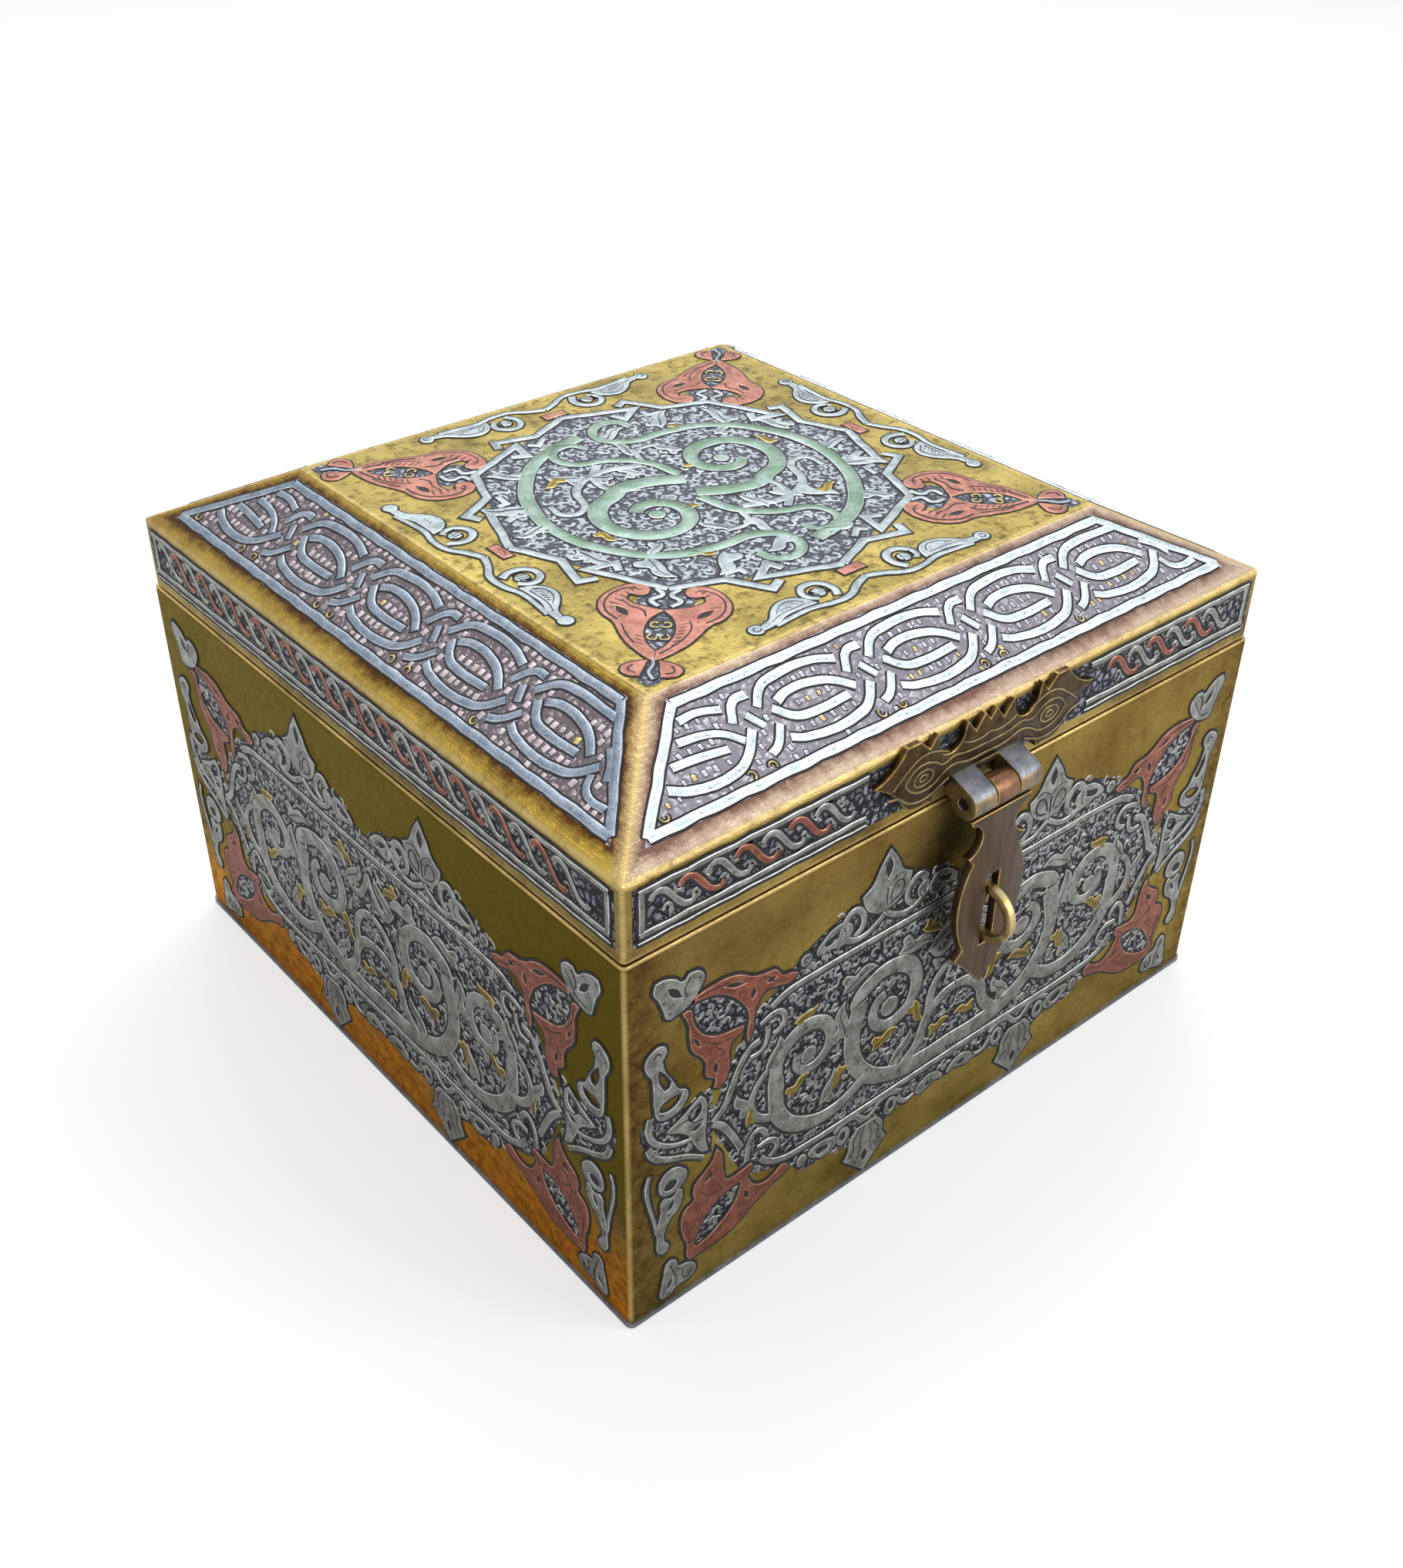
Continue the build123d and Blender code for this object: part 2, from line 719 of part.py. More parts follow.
# Silver strap round each slope, its ends parallel to the hips
for side, (normal, along, span, reach) in sides.items():
    run = (span - 2 * lid_inset) / 2
    lean = slope_run / slope_length
    strap_top = slope_length - slope_strap_top_margin
    with BuildPart() as slope_frame:
        with BuildSketch(slope_plane(side)):
            with BuildLine():
                Polyline(
                    (-run + slope_strap_side_margin + slope_strap_low * lean, slope_strap_low),
                    (run - slope_strap_side_margin - slope_strap_low * lean, slope_strap_low),
                    (run - slope_strap_side_margin - strap_top * lean, strap_top),
                    (-run + slope_strap_side_margin + strap_top * lean, strap_top),
                    close=True,
                )
            make_face()
            offset(amount=-slope_strap, kind=Kind.INTERSECTION, mode=Mode.SUBTRACT)
        extrude(amount=inlay_proud)
    save(slope_frame.part, f"{side}_slope_strap")

# Silver border of each rim band
for side, (normal, along, span, reach) in sides.items():
    band_length = span - 2 * (lid_inset + rim_band_margin)
    band_height = rim_height - eave_radius - rim_band_low - rim_band_top_margin
    with BuildPart() as rim_border:
        with BuildSketch(face_plane(side, lid_inset, seam_z + rim_band_low)):
            Rectangle(band_length, band_height, align=(Align.CENTER, Align.MIN))
            offset(amount=-rim_strap, kind=Kind.INTERSECTION, mode=Mode.SUBTRACT)
            if side == "front":
                Rectangle(
                    2 * ornament_half_length + 2 * rim_strap,
                    band_height,
                    align=(Align.CENTER, Align.MIN),
                    mode=Mode.SUBTRACT,
                )
            if side == "back":
                for place in hinge_places:
                    with Locations((place, 0)):
                        Rectangle(
                            hinge_length + 2 * rim_strap,
                            band_height,
                            align=(Align.CENTER, Align.MIN),
                            mode=Mode.SUBTRACT,
                        )
        extrude(amount=inlay_proud)
    save(rim_border.part, f"{side}_rim_border")

# Medallion strap on the top: an octagon with a ring where each side is knotted
medallion_radius = min(top_width, top_depth) / 2 - medallion_margin
apothem = medallion_radius * cos(radians(22.5))
with BuildPart() as medallion:
    with BuildSketch(Plane.XY.offset(top_z)):
        RegularPolygon(medallion_radius, 8)
        offset(amount=-medallion_strap, kind=Kind.INTERSECTION, mode=Mode.SUBTRACT)
        with PolarLocations(apothem - medallion_strap / 2, 8, start_angle=22.5):
            Circle(knot_outer_radius)
        with PolarLocations(apothem - medallion_strap / 2, 8, start_angle=22.5):
            Circle(knot_outer_radius - medallion_strap, mode=Mode.SUBTRACT)
    extrude(amount=inlay_proud)
save(medallion.part, "medallion_strap")

# Copper palmettes in the corners of the top, each with an almond opening. They point at the
# corners, and their two horns reach a little past the medallion's own corner.
corner_reach = hypot(top_width, top_depth) / 2
palmette_end = corner_reach - medallion_radius + palmette_horn_reach
palmette_long = palmette_end - palmette_tip_margin
horn = palmette_half_width * 0.56
notch = palmette_tip_margin + palmette_long * 0.68
with BuildPart() as palmettes:
    for x, y in [(1, 1), (-1, 1), (-1, -1), (1, -1)]:
        corner = Vector(x * top_width / 2, y * top_depth / 2, top_z)
        inward = Vector(-corner.X, -corner.Y, 0)
        with BuildSketch(Plane(origin=corner, x_dir=inward, z_dir=up)):
            with BuildLine():
                Spline(
                    (palmette_tip_margin, 0),
                    (palmette_tip_margin + palmette_long * 0.18, palmette_half_width * 0.54),
                    (palmette_tip_margin + palmette_long * 0.38, palmette_half_width * 0.79),
                    (palmette_tip_margin + palmette_long * 0.65, palmette_half_width),
                    (palmette_tip_margin + palmette_long * 0.84, palmette_half_width * 0.93),
                    (palmette_end, horn),
                )
                Spline(
                    (palmette_end, horn),
                    (palmette_end - palmette_long * 0.11, palmette_half_width * 0.3),
                    (palmette_end - palmette_long * 0.21, palmette_half_width * 0.3),
                    (notch, 0),
                )
                Line((notch, 0), (palmette_tip_margin, 0))
            make_face()
            mirror(about=Plane.XZ)
            with Locations((palmette_tip_margin + palmette_long * 0.4, 0)):
                Ellipse(palmette_opening_length / 2, palmette_opening_width / 2, mode=Mode.SUBTRACT)
        extrude(amount=inlay_proud)
save(palmettes.part, "top_copper_palmettes")
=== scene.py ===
from math import atan2, cos, hypot, pi, radians, sin
from random import Random

import bmesh
import bpy
from bpy.props import FloatProperty, PointerProperty, StringProperty
from mathutils import Matrix, Quaternion, Vector


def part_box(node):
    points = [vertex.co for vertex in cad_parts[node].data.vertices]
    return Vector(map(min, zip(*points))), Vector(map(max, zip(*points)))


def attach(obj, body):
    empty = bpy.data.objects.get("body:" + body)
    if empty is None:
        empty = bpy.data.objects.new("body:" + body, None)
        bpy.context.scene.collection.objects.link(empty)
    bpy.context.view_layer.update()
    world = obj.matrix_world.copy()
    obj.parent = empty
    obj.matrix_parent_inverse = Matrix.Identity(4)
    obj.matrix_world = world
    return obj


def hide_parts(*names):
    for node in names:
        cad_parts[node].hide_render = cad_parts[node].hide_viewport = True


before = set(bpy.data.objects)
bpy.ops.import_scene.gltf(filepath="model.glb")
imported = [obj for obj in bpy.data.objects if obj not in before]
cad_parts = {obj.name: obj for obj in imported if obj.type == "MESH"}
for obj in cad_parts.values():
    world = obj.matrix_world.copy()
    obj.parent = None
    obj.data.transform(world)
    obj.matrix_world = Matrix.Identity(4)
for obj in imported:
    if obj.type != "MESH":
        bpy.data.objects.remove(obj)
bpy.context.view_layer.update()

# Square book casket of brass sheet, inlaid with silver and copper. The imported parts give the
# shell, the lid and the fittings. This file adds the inlay, the engraving, the worn edges with their
# painted highlights, the painted light and shade, and the finishes. Ornament is drawn in millimetres
# on each face and laid there by a matrix.

bl_info = {
    "name": "Inlaid brass casket",
    "version": (1, 0, 0),
    "blender": (4, 5, 0),
    "location": "3D View > Sidebar > Casket",
    "description": "Inlay, engraving and finishes of a square brass book casket",
    "category": "Add Mesh",
}

MM = 0.001

# Faces of the casket in millimetres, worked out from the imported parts
lid_low, lid_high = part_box("lid_front")
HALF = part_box("right_plate")[1].x / MM
WALL_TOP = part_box("front_plate")[1].z / MM
LID_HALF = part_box("lid_right")[1].x / MM
SEAM = lid_low.z / MM
TOP = lid_high.z / MM
TOP_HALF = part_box("lid_top_plate")[1].x / MM
RIM_HEIGHT = 14.8
EAVE = SEAM + RIM_HEIGHT
SLOPE_RUN = LID_HALF - TOP_HALF
SLOPE_RISE = TOP - EAVE
SIDES = {"front": 0, "right": 90, "back": 180, "left": 270}


def face_matrix(side, reach, height, lean=0.0):
    """Local x to the right, y up the face and z outward, in millimetres, for one side."""
    turn = Matrix.Rotation(radians(SIDES[side]), 4, "Z")
    stand = Matrix.Translation((0, -reach, height)) @ Matrix.Rotation(pi / 2 - lean, 4, "X")
    return Matrix.Scale(MM, 4) @ turn @ stand


WALLS = {side: face_matrix(side, HALF, 0) for side in SIDES}
RIMS = {side: face_matrix(side, LID_HALF, SEAM) for side in SIDES}
LEAN = pi / 2 - atan2(SLOPE_RISE, SLOPE_RUN)
SLOPES = {side: face_matrix(side, LID_HALF, EAVE, LEAN) for side in SIDES}
TOP_FACE = Matrix.Scale(MM, 4) @ Matrix.Translation((0, 0, TOP))


class CasketSizes(bpy.types.PropertyGroup):
    """Heights and widths of the inlay, in millimetres"""

    relief: FloatProperty(
        name="Relief", description="Height of the inlay above the sheet", default=0.27, min=0.1, max=0.29
    )
    pad: FloatProperty(
        name="Ground", description="Height of the blackened ground", default=0.05, min=0.02, max=0.1
    )
    curl: FloatProperty(
        name="Curls", description="Height of the fine curls on the ground", default=0.13, min=0.06, max=0.2
    )
    groove: FloatProperty(
        name="Groove height", description="Height of the line round the inlay", default=0.15,
        min=0.05, max=0.2,
    )
    groove_width: FloatProperty(
        name="Groove width", description="Width of the line round the inlay", default=0.5, min=0.1, max=1.0
    )
    bevel: FloatProperty(
        name="Bevel", description="Width of the worn edge of the inlay", default=0.24, min=0.05, max=0.4
    )


class CasketColours(bpy.types.PropertyGroup):
    """Colours of the metals, the ground and the wood, as sRGB hex values"""

    brass: StringProperty(name="Brass", description="Olive gold of the walls", default="#A38F4E")
    brass_dark: StringProperty(name="Patina", description="Brown patina of the walls", default="#6A5628")
    # Rubbed brass also carries the painted highlight on the worn edges
    brass_bright: StringProperty(name="Rubbed brass", description="Edges rubbed bright", default="#CDB274")
    silver: StringProperty(name="Silver", description="Tarnished silver of the walls", default="#A0A29C")
    # The pale lid silver is the lit copy of the slope silver, a painted light; the left slope takes a darker
    # shaded copy
    silver_lid: StringProperty(name="Lid silver", description="Silver of the slopes", default="#E2EAEE")
    copper: StringProperty(name="Copper", description="Copper of the leaves", default="#9C604C")
    ground: StringProperty(name="Ground", description="Blackened ground", default="#29282E")
    bronze: StringProperty(name="Bronze", description="Brown bronze of the hasp", default="#685645")


def linear(hex_colour):
    """Turn an sRGB hex value into the linear colour that a shader takes."""
    parts = [int(hex_colour[i : i + 2], 16) / 255 for i in (1, 3, 5)]
    return [c / 12.92 if c <= 0.04045 else ((c + 0.055) / 1.055) ** 2.4 for c in parts] + [1.0]


RGBA = {"data_type": "RGBA"}
PLUS = {"operation": "ADD"}
MINUS = {"operation": "SUBTRACT"}
TIMES = {"operation": "MULTIPLY"}
MOST = {"operation": "MAXIMUM"}
LEAST = {"operation": "MINIMUM"}
ABSOLUTE = {"operation": "ABSOLUTE"}


def node(tree, kind, inputs, settings=None, out=0):
    """Add one shader node, set or link each of its inputs, and give back one of its outputs."""
    made = tree.nodes.new("ShaderNode" + kind)
    for key, value in (settings or {}).items():
        setattr(made, key, value)
    for key, value in inputs.items():
        if isinstance(value, bpy.types.NodeSocket):
            tree.links.new(value, made.inputs[key])
        else:
            made.inputs[key].default_value = value
    return made.outputs[out] if made.outputs else None


def new_material(name):
    """A named material with an empty node tree, and the object's own coordinates in it."""
    made = bpy.data.materials.new(name)
    made.use_nodes = True
    tree = made.node_tree
    tree.nodes.clear()
    return made, tree, node(tree, "TexCoord", {}, out="Object")


def metal(tree, colour, rough, height, depth_mm, strength=0.6, metallic=1.0, slant=(1, 1, 1, 1)):
    """Finish a metal: its colour, its colour seen at a slant, its roughness and the bumps of its surface."""
    relief = node(tree, "Bump", {"Height": height, "Strength": strength, "Distance": depth_mm * MM})
    links = {"Base Color": colour, "Metallic": metallic, "Roughness": rough, "Normal": relief}
    shader = node(tree, "BsdfPrincipled", links | {"Specular Tint": slant})
    node(tree, "OutputMaterial", {"Surface": shader})


def sheet_brass(tree, place, colours):
    """Hammered brass: olive and brown clouds, small stains and the strokes of a scraper."""
    cloud, stain, grain = (
        node(tree, "TexNoise", {"Vector": place, "Scale": 1 / (size * MM), "Detail": fine, "Roughness": worn})
        for size, fine, worn in ((16.0, 5.0, 0.55), (2.2, 4.0, 0.7), (0.5, 2.0, 0.6))
    )
    clouds = node(tree, "MapRange", {0: cloud, 1: 0.34, 2: 0.66})
    tone = node(tree, "Mix", {0: clouds, 6: linear(colours.brass_dark), 7: linear(colours.brass)}, RGBA, 2)
    pale = node(tree, "MapRange", {0: stain, 1: 0.52, 2: 0.74, 4: 0.35})
    dark = node(tree, "MapRange", {0: stain, 1: 0.44, 2: 0.28, 4: 0.5})
    for mask, shade in ((pale, "#A8944E"), (dark, "#35290F")):
        tone = node(tree, "Mix", {0: mask, 6: tone, 7: linear(shade)}, RGBA, 2)
    strokes = node(tree, "Mapping", {0: place, "Scale": (0.35, 0.35, 6.0), "Rotation": (0.25, 0.15, 0.0)})
    strokes = node(tree, "TexNoise", {"Vector": strokes, "Scale": 1 / (1.6 * MM), "Detail": 3.0})
    height = node(tree, "Math", {0: stain, 1: 0.7}, TIMES)
    for bumps in (strokes, grain):
        height = node(tree, "Math", {0: height, 1: bumps}, PLUS)
    return cloud, stain, tone, height


# Where light and shade are painted on the walls, in millimetres: the middle of the painted shadow beside the
# hasp, and the heights of the painted warm reflection at the foot of the left wall and of the painted shade
# above it
HASP_SHADOW = (-5.0, -HALF, 76.0)
REFLECTION_TOP = 41.0
REFLECTION_FULL = 22.0
LEFT_SHADE_START = 34.0
LEFT_SHADE_FULL = 52.0


def wall_brass(name, colours):
    """Wall sheet: browned beside its upright edges, which are rubbed bright and lightened further as a
    painted highlight; darker towards the top as a painted shade; on the left wall a painted shade above and a
    painted warm reflection at the foot; a painted shadow beside the hasp.
    """
    made, tree, place = new_material(name)
    cloud, stain, tone, height = sheet_brass(tree, place, colours)
    x, y, z = node(tree, "SeparateXYZ", {0: place}).node.outputs
    wide, deep = (node(tree, "Math", {0: along}, ABSOLUTE) for along in (x, y))
    nearer = node(tree, "Math", {0: wide, 1: deep}, LEAST)
    # Darker towards the top: a painted shade
    upper_shade = node(tree, "MapRange", {0: z, 1: 35 * MM, 2: 80 * MM, 4: 0.5})
    brown = node(tree, "MapRange", {0: nearer, 1: (HALF - 14) * MM, 2: (HALF - 2.5) * MM})
    patchy = node(tree, "MapRange", {0: stain, 1: 0.3, 2: 0.65, 3: 1.0, 4: 0.4})
    # Left wall only: a painted shade over its upper part and a painted warm reflection at its foot, with
    # ragged edges
    left = node(tree, "MapRange", {0: x, 1: -(HALF - 0.4) * MM, 2: -(HALF - 0.1) * MM})
    ragged = node(tree, "Math", {0: cloud, 1: 30 * MM}, TIMES)
    ragged = node(tree, "Math", {0: z, 1: ragged}, PLUS)
    left_reflection = node(tree, "MapRange", {0: ragged, 1: REFLECTION_TOP * MM, 2: REFLECTION_FULL * MM})
    left_shade = node(tree, "MapRange", {0: ragged, 1: LEFT_SHADE_START * MM, 2: LEFT_SHADE_FULL * MM})
    brown, left_reflection, left_shade = (
        node(tree, "Math", {0: mask, 1: share}, TIMES)
        for mask, share in ((brown, patchy), (left_reflection, left), (left_shade, left))
    )
    reflection_tint = node(tree, "MapRange", {0: stain, 1: 0.36, 2: 0.6})
    reflection_tint = node(tree, "Mix", {0: reflection_tint, 6: linear("#864B0A"), 7: linear("#C87C10")}, RGBA, 2)
    # A painted shadow beside the hasp, its edge made ragged by the clouds
    hasp_shadow = [share * MM for share in HASP_SHADOW]
    hasp_shadow = node(tree, "VectorMath", {0: place, 1: hasp_shadow}, {"operation": "DISTANCE"}, "Value")
    spread = node(tree, "Math", {0: cloud, 1: 12 * MM}, TIMES)
    hasp_shadow = node(tree, "Math", {0: hasp_shadow, 1: spread}, PLUS)
    hasp_shadow = node(tree, "MapRange", {0: hasp_shadow, 1: 20 * MM, 2: 9 * MM, 4: 0.75})
    # Upright edges, top edge and foot rubbed bright, lighter also as a painted highlight
    rubbed_highlight = node(tree, "MapRange", {0: nearer, 1: (HALF - 0.95) * MM, 2: (HALF - 0.2) * MM})
    lip = node(tree, "MapRange", {0: z, 1: (WALL_TOP + 0.1) * MM, 2: (WALL_TOP + 0.5) * MM})
    low = node(tree, "MapRange", {0: z, 1: 2.2 * MM, 2: 0.7 * MM, 4: 0.5})
    worn = node(tree, "MapRange", {0: cloud, 1: 0.34, 2: 0.55, 3: 0.4, 4: 0.95})
    wear_and_highlight = node(tree, "Math", {0: rubbed_highlight, 1: lip}, MOST)
    wear_and_highlight = node(tree, "Math", {0: wear_and_highlight, 1: low}, MOST)
    wear_and_highlight = node(tree, "Math", {0: wear_and_highlight, 1: worn}, TIMES)
    # Coats in turn: painted shade at the top, brown stain by the edges, painted shade and painted warm
    # reflection on the left wall, painted hasp shadow, rubbed edges with a painted highlight
    coats = (
        (upper_shade, linear("#6E552C")), (brown, linear("#472D18")), (left_shade, linear("#54450C")), (left_reflection, reflection_tint),
        (hasp_shadow, linear("#2C2418")), (wear_and_highlight, linear(colours.brass_bright)),
    )
    for mask, shade in coats:
        tone = node(tree, "Mix", {0: mask, 6: tone, 7: shade}, RGBA, 2)
    rough = node(tree, "MapRange", {0: stain, 1: 0.3, 2: 0.7, 3: 0.48, 4: 0.3})
    metal(tree, tone, rough, height, 0.14, 0.65, slant=(1.0, 0.9, 0.6, 1.0))
    return made


def lid_brass(name, colours):
    """Lid sheet: pitted olive gold on top, brown margins with pinkish cream as a painted reflection on the
    lit slopes, edges rubbed bright and lightened further as a painted highlight.
    """
    made, tree, place = new_material(name)
    cloud, stain, tone, height = sheet_brass(tree, place, colours)
    x, y, z = node(tree, "SeparateXYZ", {0: place}).node.outputs
    wide, deep = (node(tree, "Math", {0: along}, ABSOLUTE) for along in (x, y))
    farther = node(tree, "Math", {0: wide, 1: deep}, MOST)
    on_top = node(tree, "MapRange", {0: z, 1: (TOP - 0.2) * MM, 2: (TOP - 0.05) * MM})
    slope = node(tree, "MapRange", {0: z, 1: (EAVE - 0.3) * MM, 2: (EAVE + 0.6) * MM})
    apart = node(tree, "Math", {0: wide, 1: deep}, MINUS)
    apart = node(tree, "Math", {0: apart}, ABSOLUTE)

    # Margins: creamy to the right and golden to the left, browner away from the hips and the eave; the
    # pinkish cream on the lit slopes is a painted reflection
    worn = node(tree, "MapRange", {0: apart, 1: 3.4 * MM, 2: 1.0 * MM})
    by_eave = node(tree, "MapRange", {0: z, 1: (EAVE + 1.9) * MM, 2: (EAVE + 0.6) * MM})
    by_top = node(tree, "MapRange", {0: z, 1: (TOP - 1.0) * MM, 2: (TOP - 0.2) * MM})
    for near in (by_eave, by_top):
        worn = node(tree, "Math", {0: worn, 1: near}, MOST)
    uneven = node(tree, "Math", {0: cloud, 1: stain}, PLUS)
    uneven = node(tree, "MapRange", {0: uneven, 1: 0.7, 2: 1.3, 3: -0.55, 4: 0.4})
    worn = node(tree, "Math", {0: worn, 1: uneven}, {"operation": "ADD", "use_clamp": True})
    leftward = node(tree, "Math", {0: x, 1: y}, MINUS)
    leftward = node(tree, "MapRange", {0: leftward, 1: 4 * MM, 2: -4 * MM})
    reflection_cream, gilt = (
        node(tree, "Mix", {0: worn, 6: linear(dark), 7: linear(pale)}, RGBA, 2)
        for dark, pale in (("#74584C", "#C4B09A"), ("#4E3014", "#A88C3E"))
    )
    margin = node(tree, "Mix", {0: leftward, 6: reflection_cream, 7: gilt}, RGBA, 2)

    # Top: clouds of gold, stains and small pits
    pits = node(tree, "TexVoronoi", {"Vector": place, "Scale": 1 / (3.2 * MM)})
    clouds = node(tree, "MapRange", {0: cloud, 1: 0.35, 2: 0.65})
    gold = node(tree, "Mix", {0: clouds, 6: linear("#7E7038"), 7: linear("#AC9A54")}, RGBA, 2)
    dark = node(tree, "MapRange", {0: stain, 1: 0.5, 2: 0.36, 4: 0.7})
    pitted = node(tree, "MapRange", {0: pits, 1: 0.17, 2: 0.08, 4: 0.6})
    for mask, shade in ((dark, "#4E421E"), (pitted, "#3A3018")):
        gold = node(tree, "Mix", {0: mask, 6: gold, 7: linear(shade)}, RGBA, 2)
    hollows = node(tree, "MapRange", {0: pits, 1: 0.0, 2: 0.3})
    hollows = node(tree, "Math", {0: hollows, 1: on_top}, TIMES)
    height = node(tree, "Math", {0: height, 1: hollows}, PLUS)

    # Rubbed edges, lightened also as a painted highlight: the hips, the eave, the rim of the top and the
    # lower edge
    hip = node(tree, "MapRange", {0: apart, 1: 0.95 * MM, 2: 0.25 * MM})
    off_top = node(tree, "Math", {0: 1.0, 1: on_top}, MINUS)
    wear_and_highlight = node(tree, "Math", {0: hip, 1: off_top}, TIMES)
    for along, edge, reach, most in ((z, EAVE - 0.3, 0.8, 0.7), (farther, TOP_HALF - 0.2, 0.9, 0.45)):
        off = node(tree, "Math", {0: along, 1: edge * MM}, MINUS)
        off = node(tree, "Math", {0: off}, ABSOLUTE)
        off = node(tree, "MapRange", {0: off, 1: reach * MM, 2: 0.2 * MM, 4: most})
        wear_and_highlight = node(tree, "Math", {0: wear_and_highlight, 1: off}, MOST)
    low = node(tree, "MapRange", {0: z, 1: (SEAM + 0.7) * MM, 2: (SEAM + 0.2) * MM, 4: 0.4})
    wear_and_highlight = node(tree, "Math", {0: wear_and_highlight, 1: low}, MOST)
    broken = node(tree, "MapRange", {0: stain, 1: 0.3, 2: 0.5, 3: 0.45, 4: 0.9})
    wear_and_highlight = node(tree, "Math", {0: wear_and_highlight, 1: broken}, TIMES)

    # Underside: plain dull brass, wherever the sheet lies below its outer face
    level = node(tree, "Math", {0: farther, 1: -SLOPE_RISE / SLOPE_RUN}, TIMES)
    outer = node(tree, "Math", {0: level, 1: (EAVE + LID_HALF * SLOPE_RISE / SLOPE_RUN) * MM}, PLUS)
    outer = node(tree, "Math", {0: outer, 1: TOP * MM}, LEAST)
    depth = node(tree, "Math", {0: outer, 1: z}, MINUS)
    under = node(tree, "MapRange", {0: depth, 1: 0.5 * MM, 2: 0.9 * MM})
    under = node(tree, "Math", {0: under, 1: slope}, TIMES)
    plain = node(tree, "Mix", {0: clouds, 6: linear("#5E4C28"), 7: linear("#84703E")}, RGBA, 2)

    rubbed_highlight = linear(colours.brass_bright)
    for mask, shade in ((slope, margin), (on_top, gold), (wear_and_highlight, rubbed_highlight), (under, plain)):
        tone = node(tree, "Mix", {0: mask, 6: tone, 7: shade}, RGBA, 2)
    rough = node(tree, "MapRange", {0: stain, 1: 0.3, 2: 0.7, 3: 0.52, 4: 0.36})
    metal(tree, tone, rough, height, 0.16, 0.8)
    return made


def inlay_metal(name, light, dark, moss=None, rough=0.34, pits=0.0):
    """Beaten inlay: fine grain from the punch, stains, patina, and pits where the metal has lifted."""
    made, tree, place = new_material(name)
    stain, grain = (
        node(tree, "TexNoise", {"Vector": place, "Scale": 1 / (size * MM), "Detail": fine, "Roughness": worn})
        for size, fine, worn in ((3.2, 4.0, 0.65), (0.55, 3.0, 0.7))
    )
    stained = node(tree, "MapRange", {0: stain, 1: 0.36, 2: 0.62})
    tone = node(tree, "Mix", {0: stained, 6: linear(light), 7: linear(dark)}, RGBA, 2)
    coats = []
    if moss:
        patches = node(tree, "TexNoise", {"Vector": place, "Scale": 1 / (7.5 * MM), "Detail": 3.0})
        coats.append((node(tree, "MapRange", {0: patches, 1: 0.42, 2: 0.58}), moss))
    coats.append((node(tree, "MapRange", {0: grain, 1: 0.43, 2: 0.3, 4: 0.75}), "#3A393B"))
    coats.append((node(tree, "MapRange", {0: grain, 1: 0.6, 2: 0.78, 4: 0.5}), "#E6EAEA"))
    if pits:
        spots = node(tree, "TexVoronoi", {"Vector": place, "Scale": 1 / (2.4 * MM)})
        coats.append((node(tree, "MapRange", {0: spots, 1: 0.2, 2: 0.1, 4: pits}), "#232225"))
    for mask, shade in coats:
        tone = node(tree, "Mix", {0: mask, 6: tone, 7: linear(shade)}, RGBA, 2)
    height = node(tree, "Math", {0: grain, 1: stain}, PLUS)
    rough = node(tree, "MapRange", {0: grain, 1: 0.3, 2: 0.7, 3: rough, 4: rough + 0.2})
    metal(tree, tone, rough, height, 0.12, 0.65)
    return made


def plain_metal(name, light, dark, rough, metallic=1.0, brushed=(1, 1, 1), grain_mm=0.6):
    """Plain worked metal with a fine grain, or with the strokes of a file where it is brushed."""
    made, tree, place = new_material(name)
    place = node(tree, "Mapping", {0: place, "Scale": brushed})
    patches = {"Vector": place, "Scale": 1 / (2.6 * MM), "Detail": 4.0, "Roughness": 0.65}
    stain = node(tree, "TexNoise", patches)
    grain = node(tree, "TexNoise", {"Vector": place, "Scale": 1 / (grain_mm * MM), "Detail": 3.0})
    stained = node(tree, "MapRange", {0: stain, 1: 0.32, 2: 0.7})
    tone = node(tree, "Mix", {0: stained, 6: linear(dark), 7: linear(light)}, RGBA, 2)
    rough = node(tree, "MapRange", {0: grain, 1: 0.3, 2: 0.7, 3: rough, 4: rough + 0.16})
    metal(tree, tone, rough, grain, 0.05, 0.4, metallic)
    return made


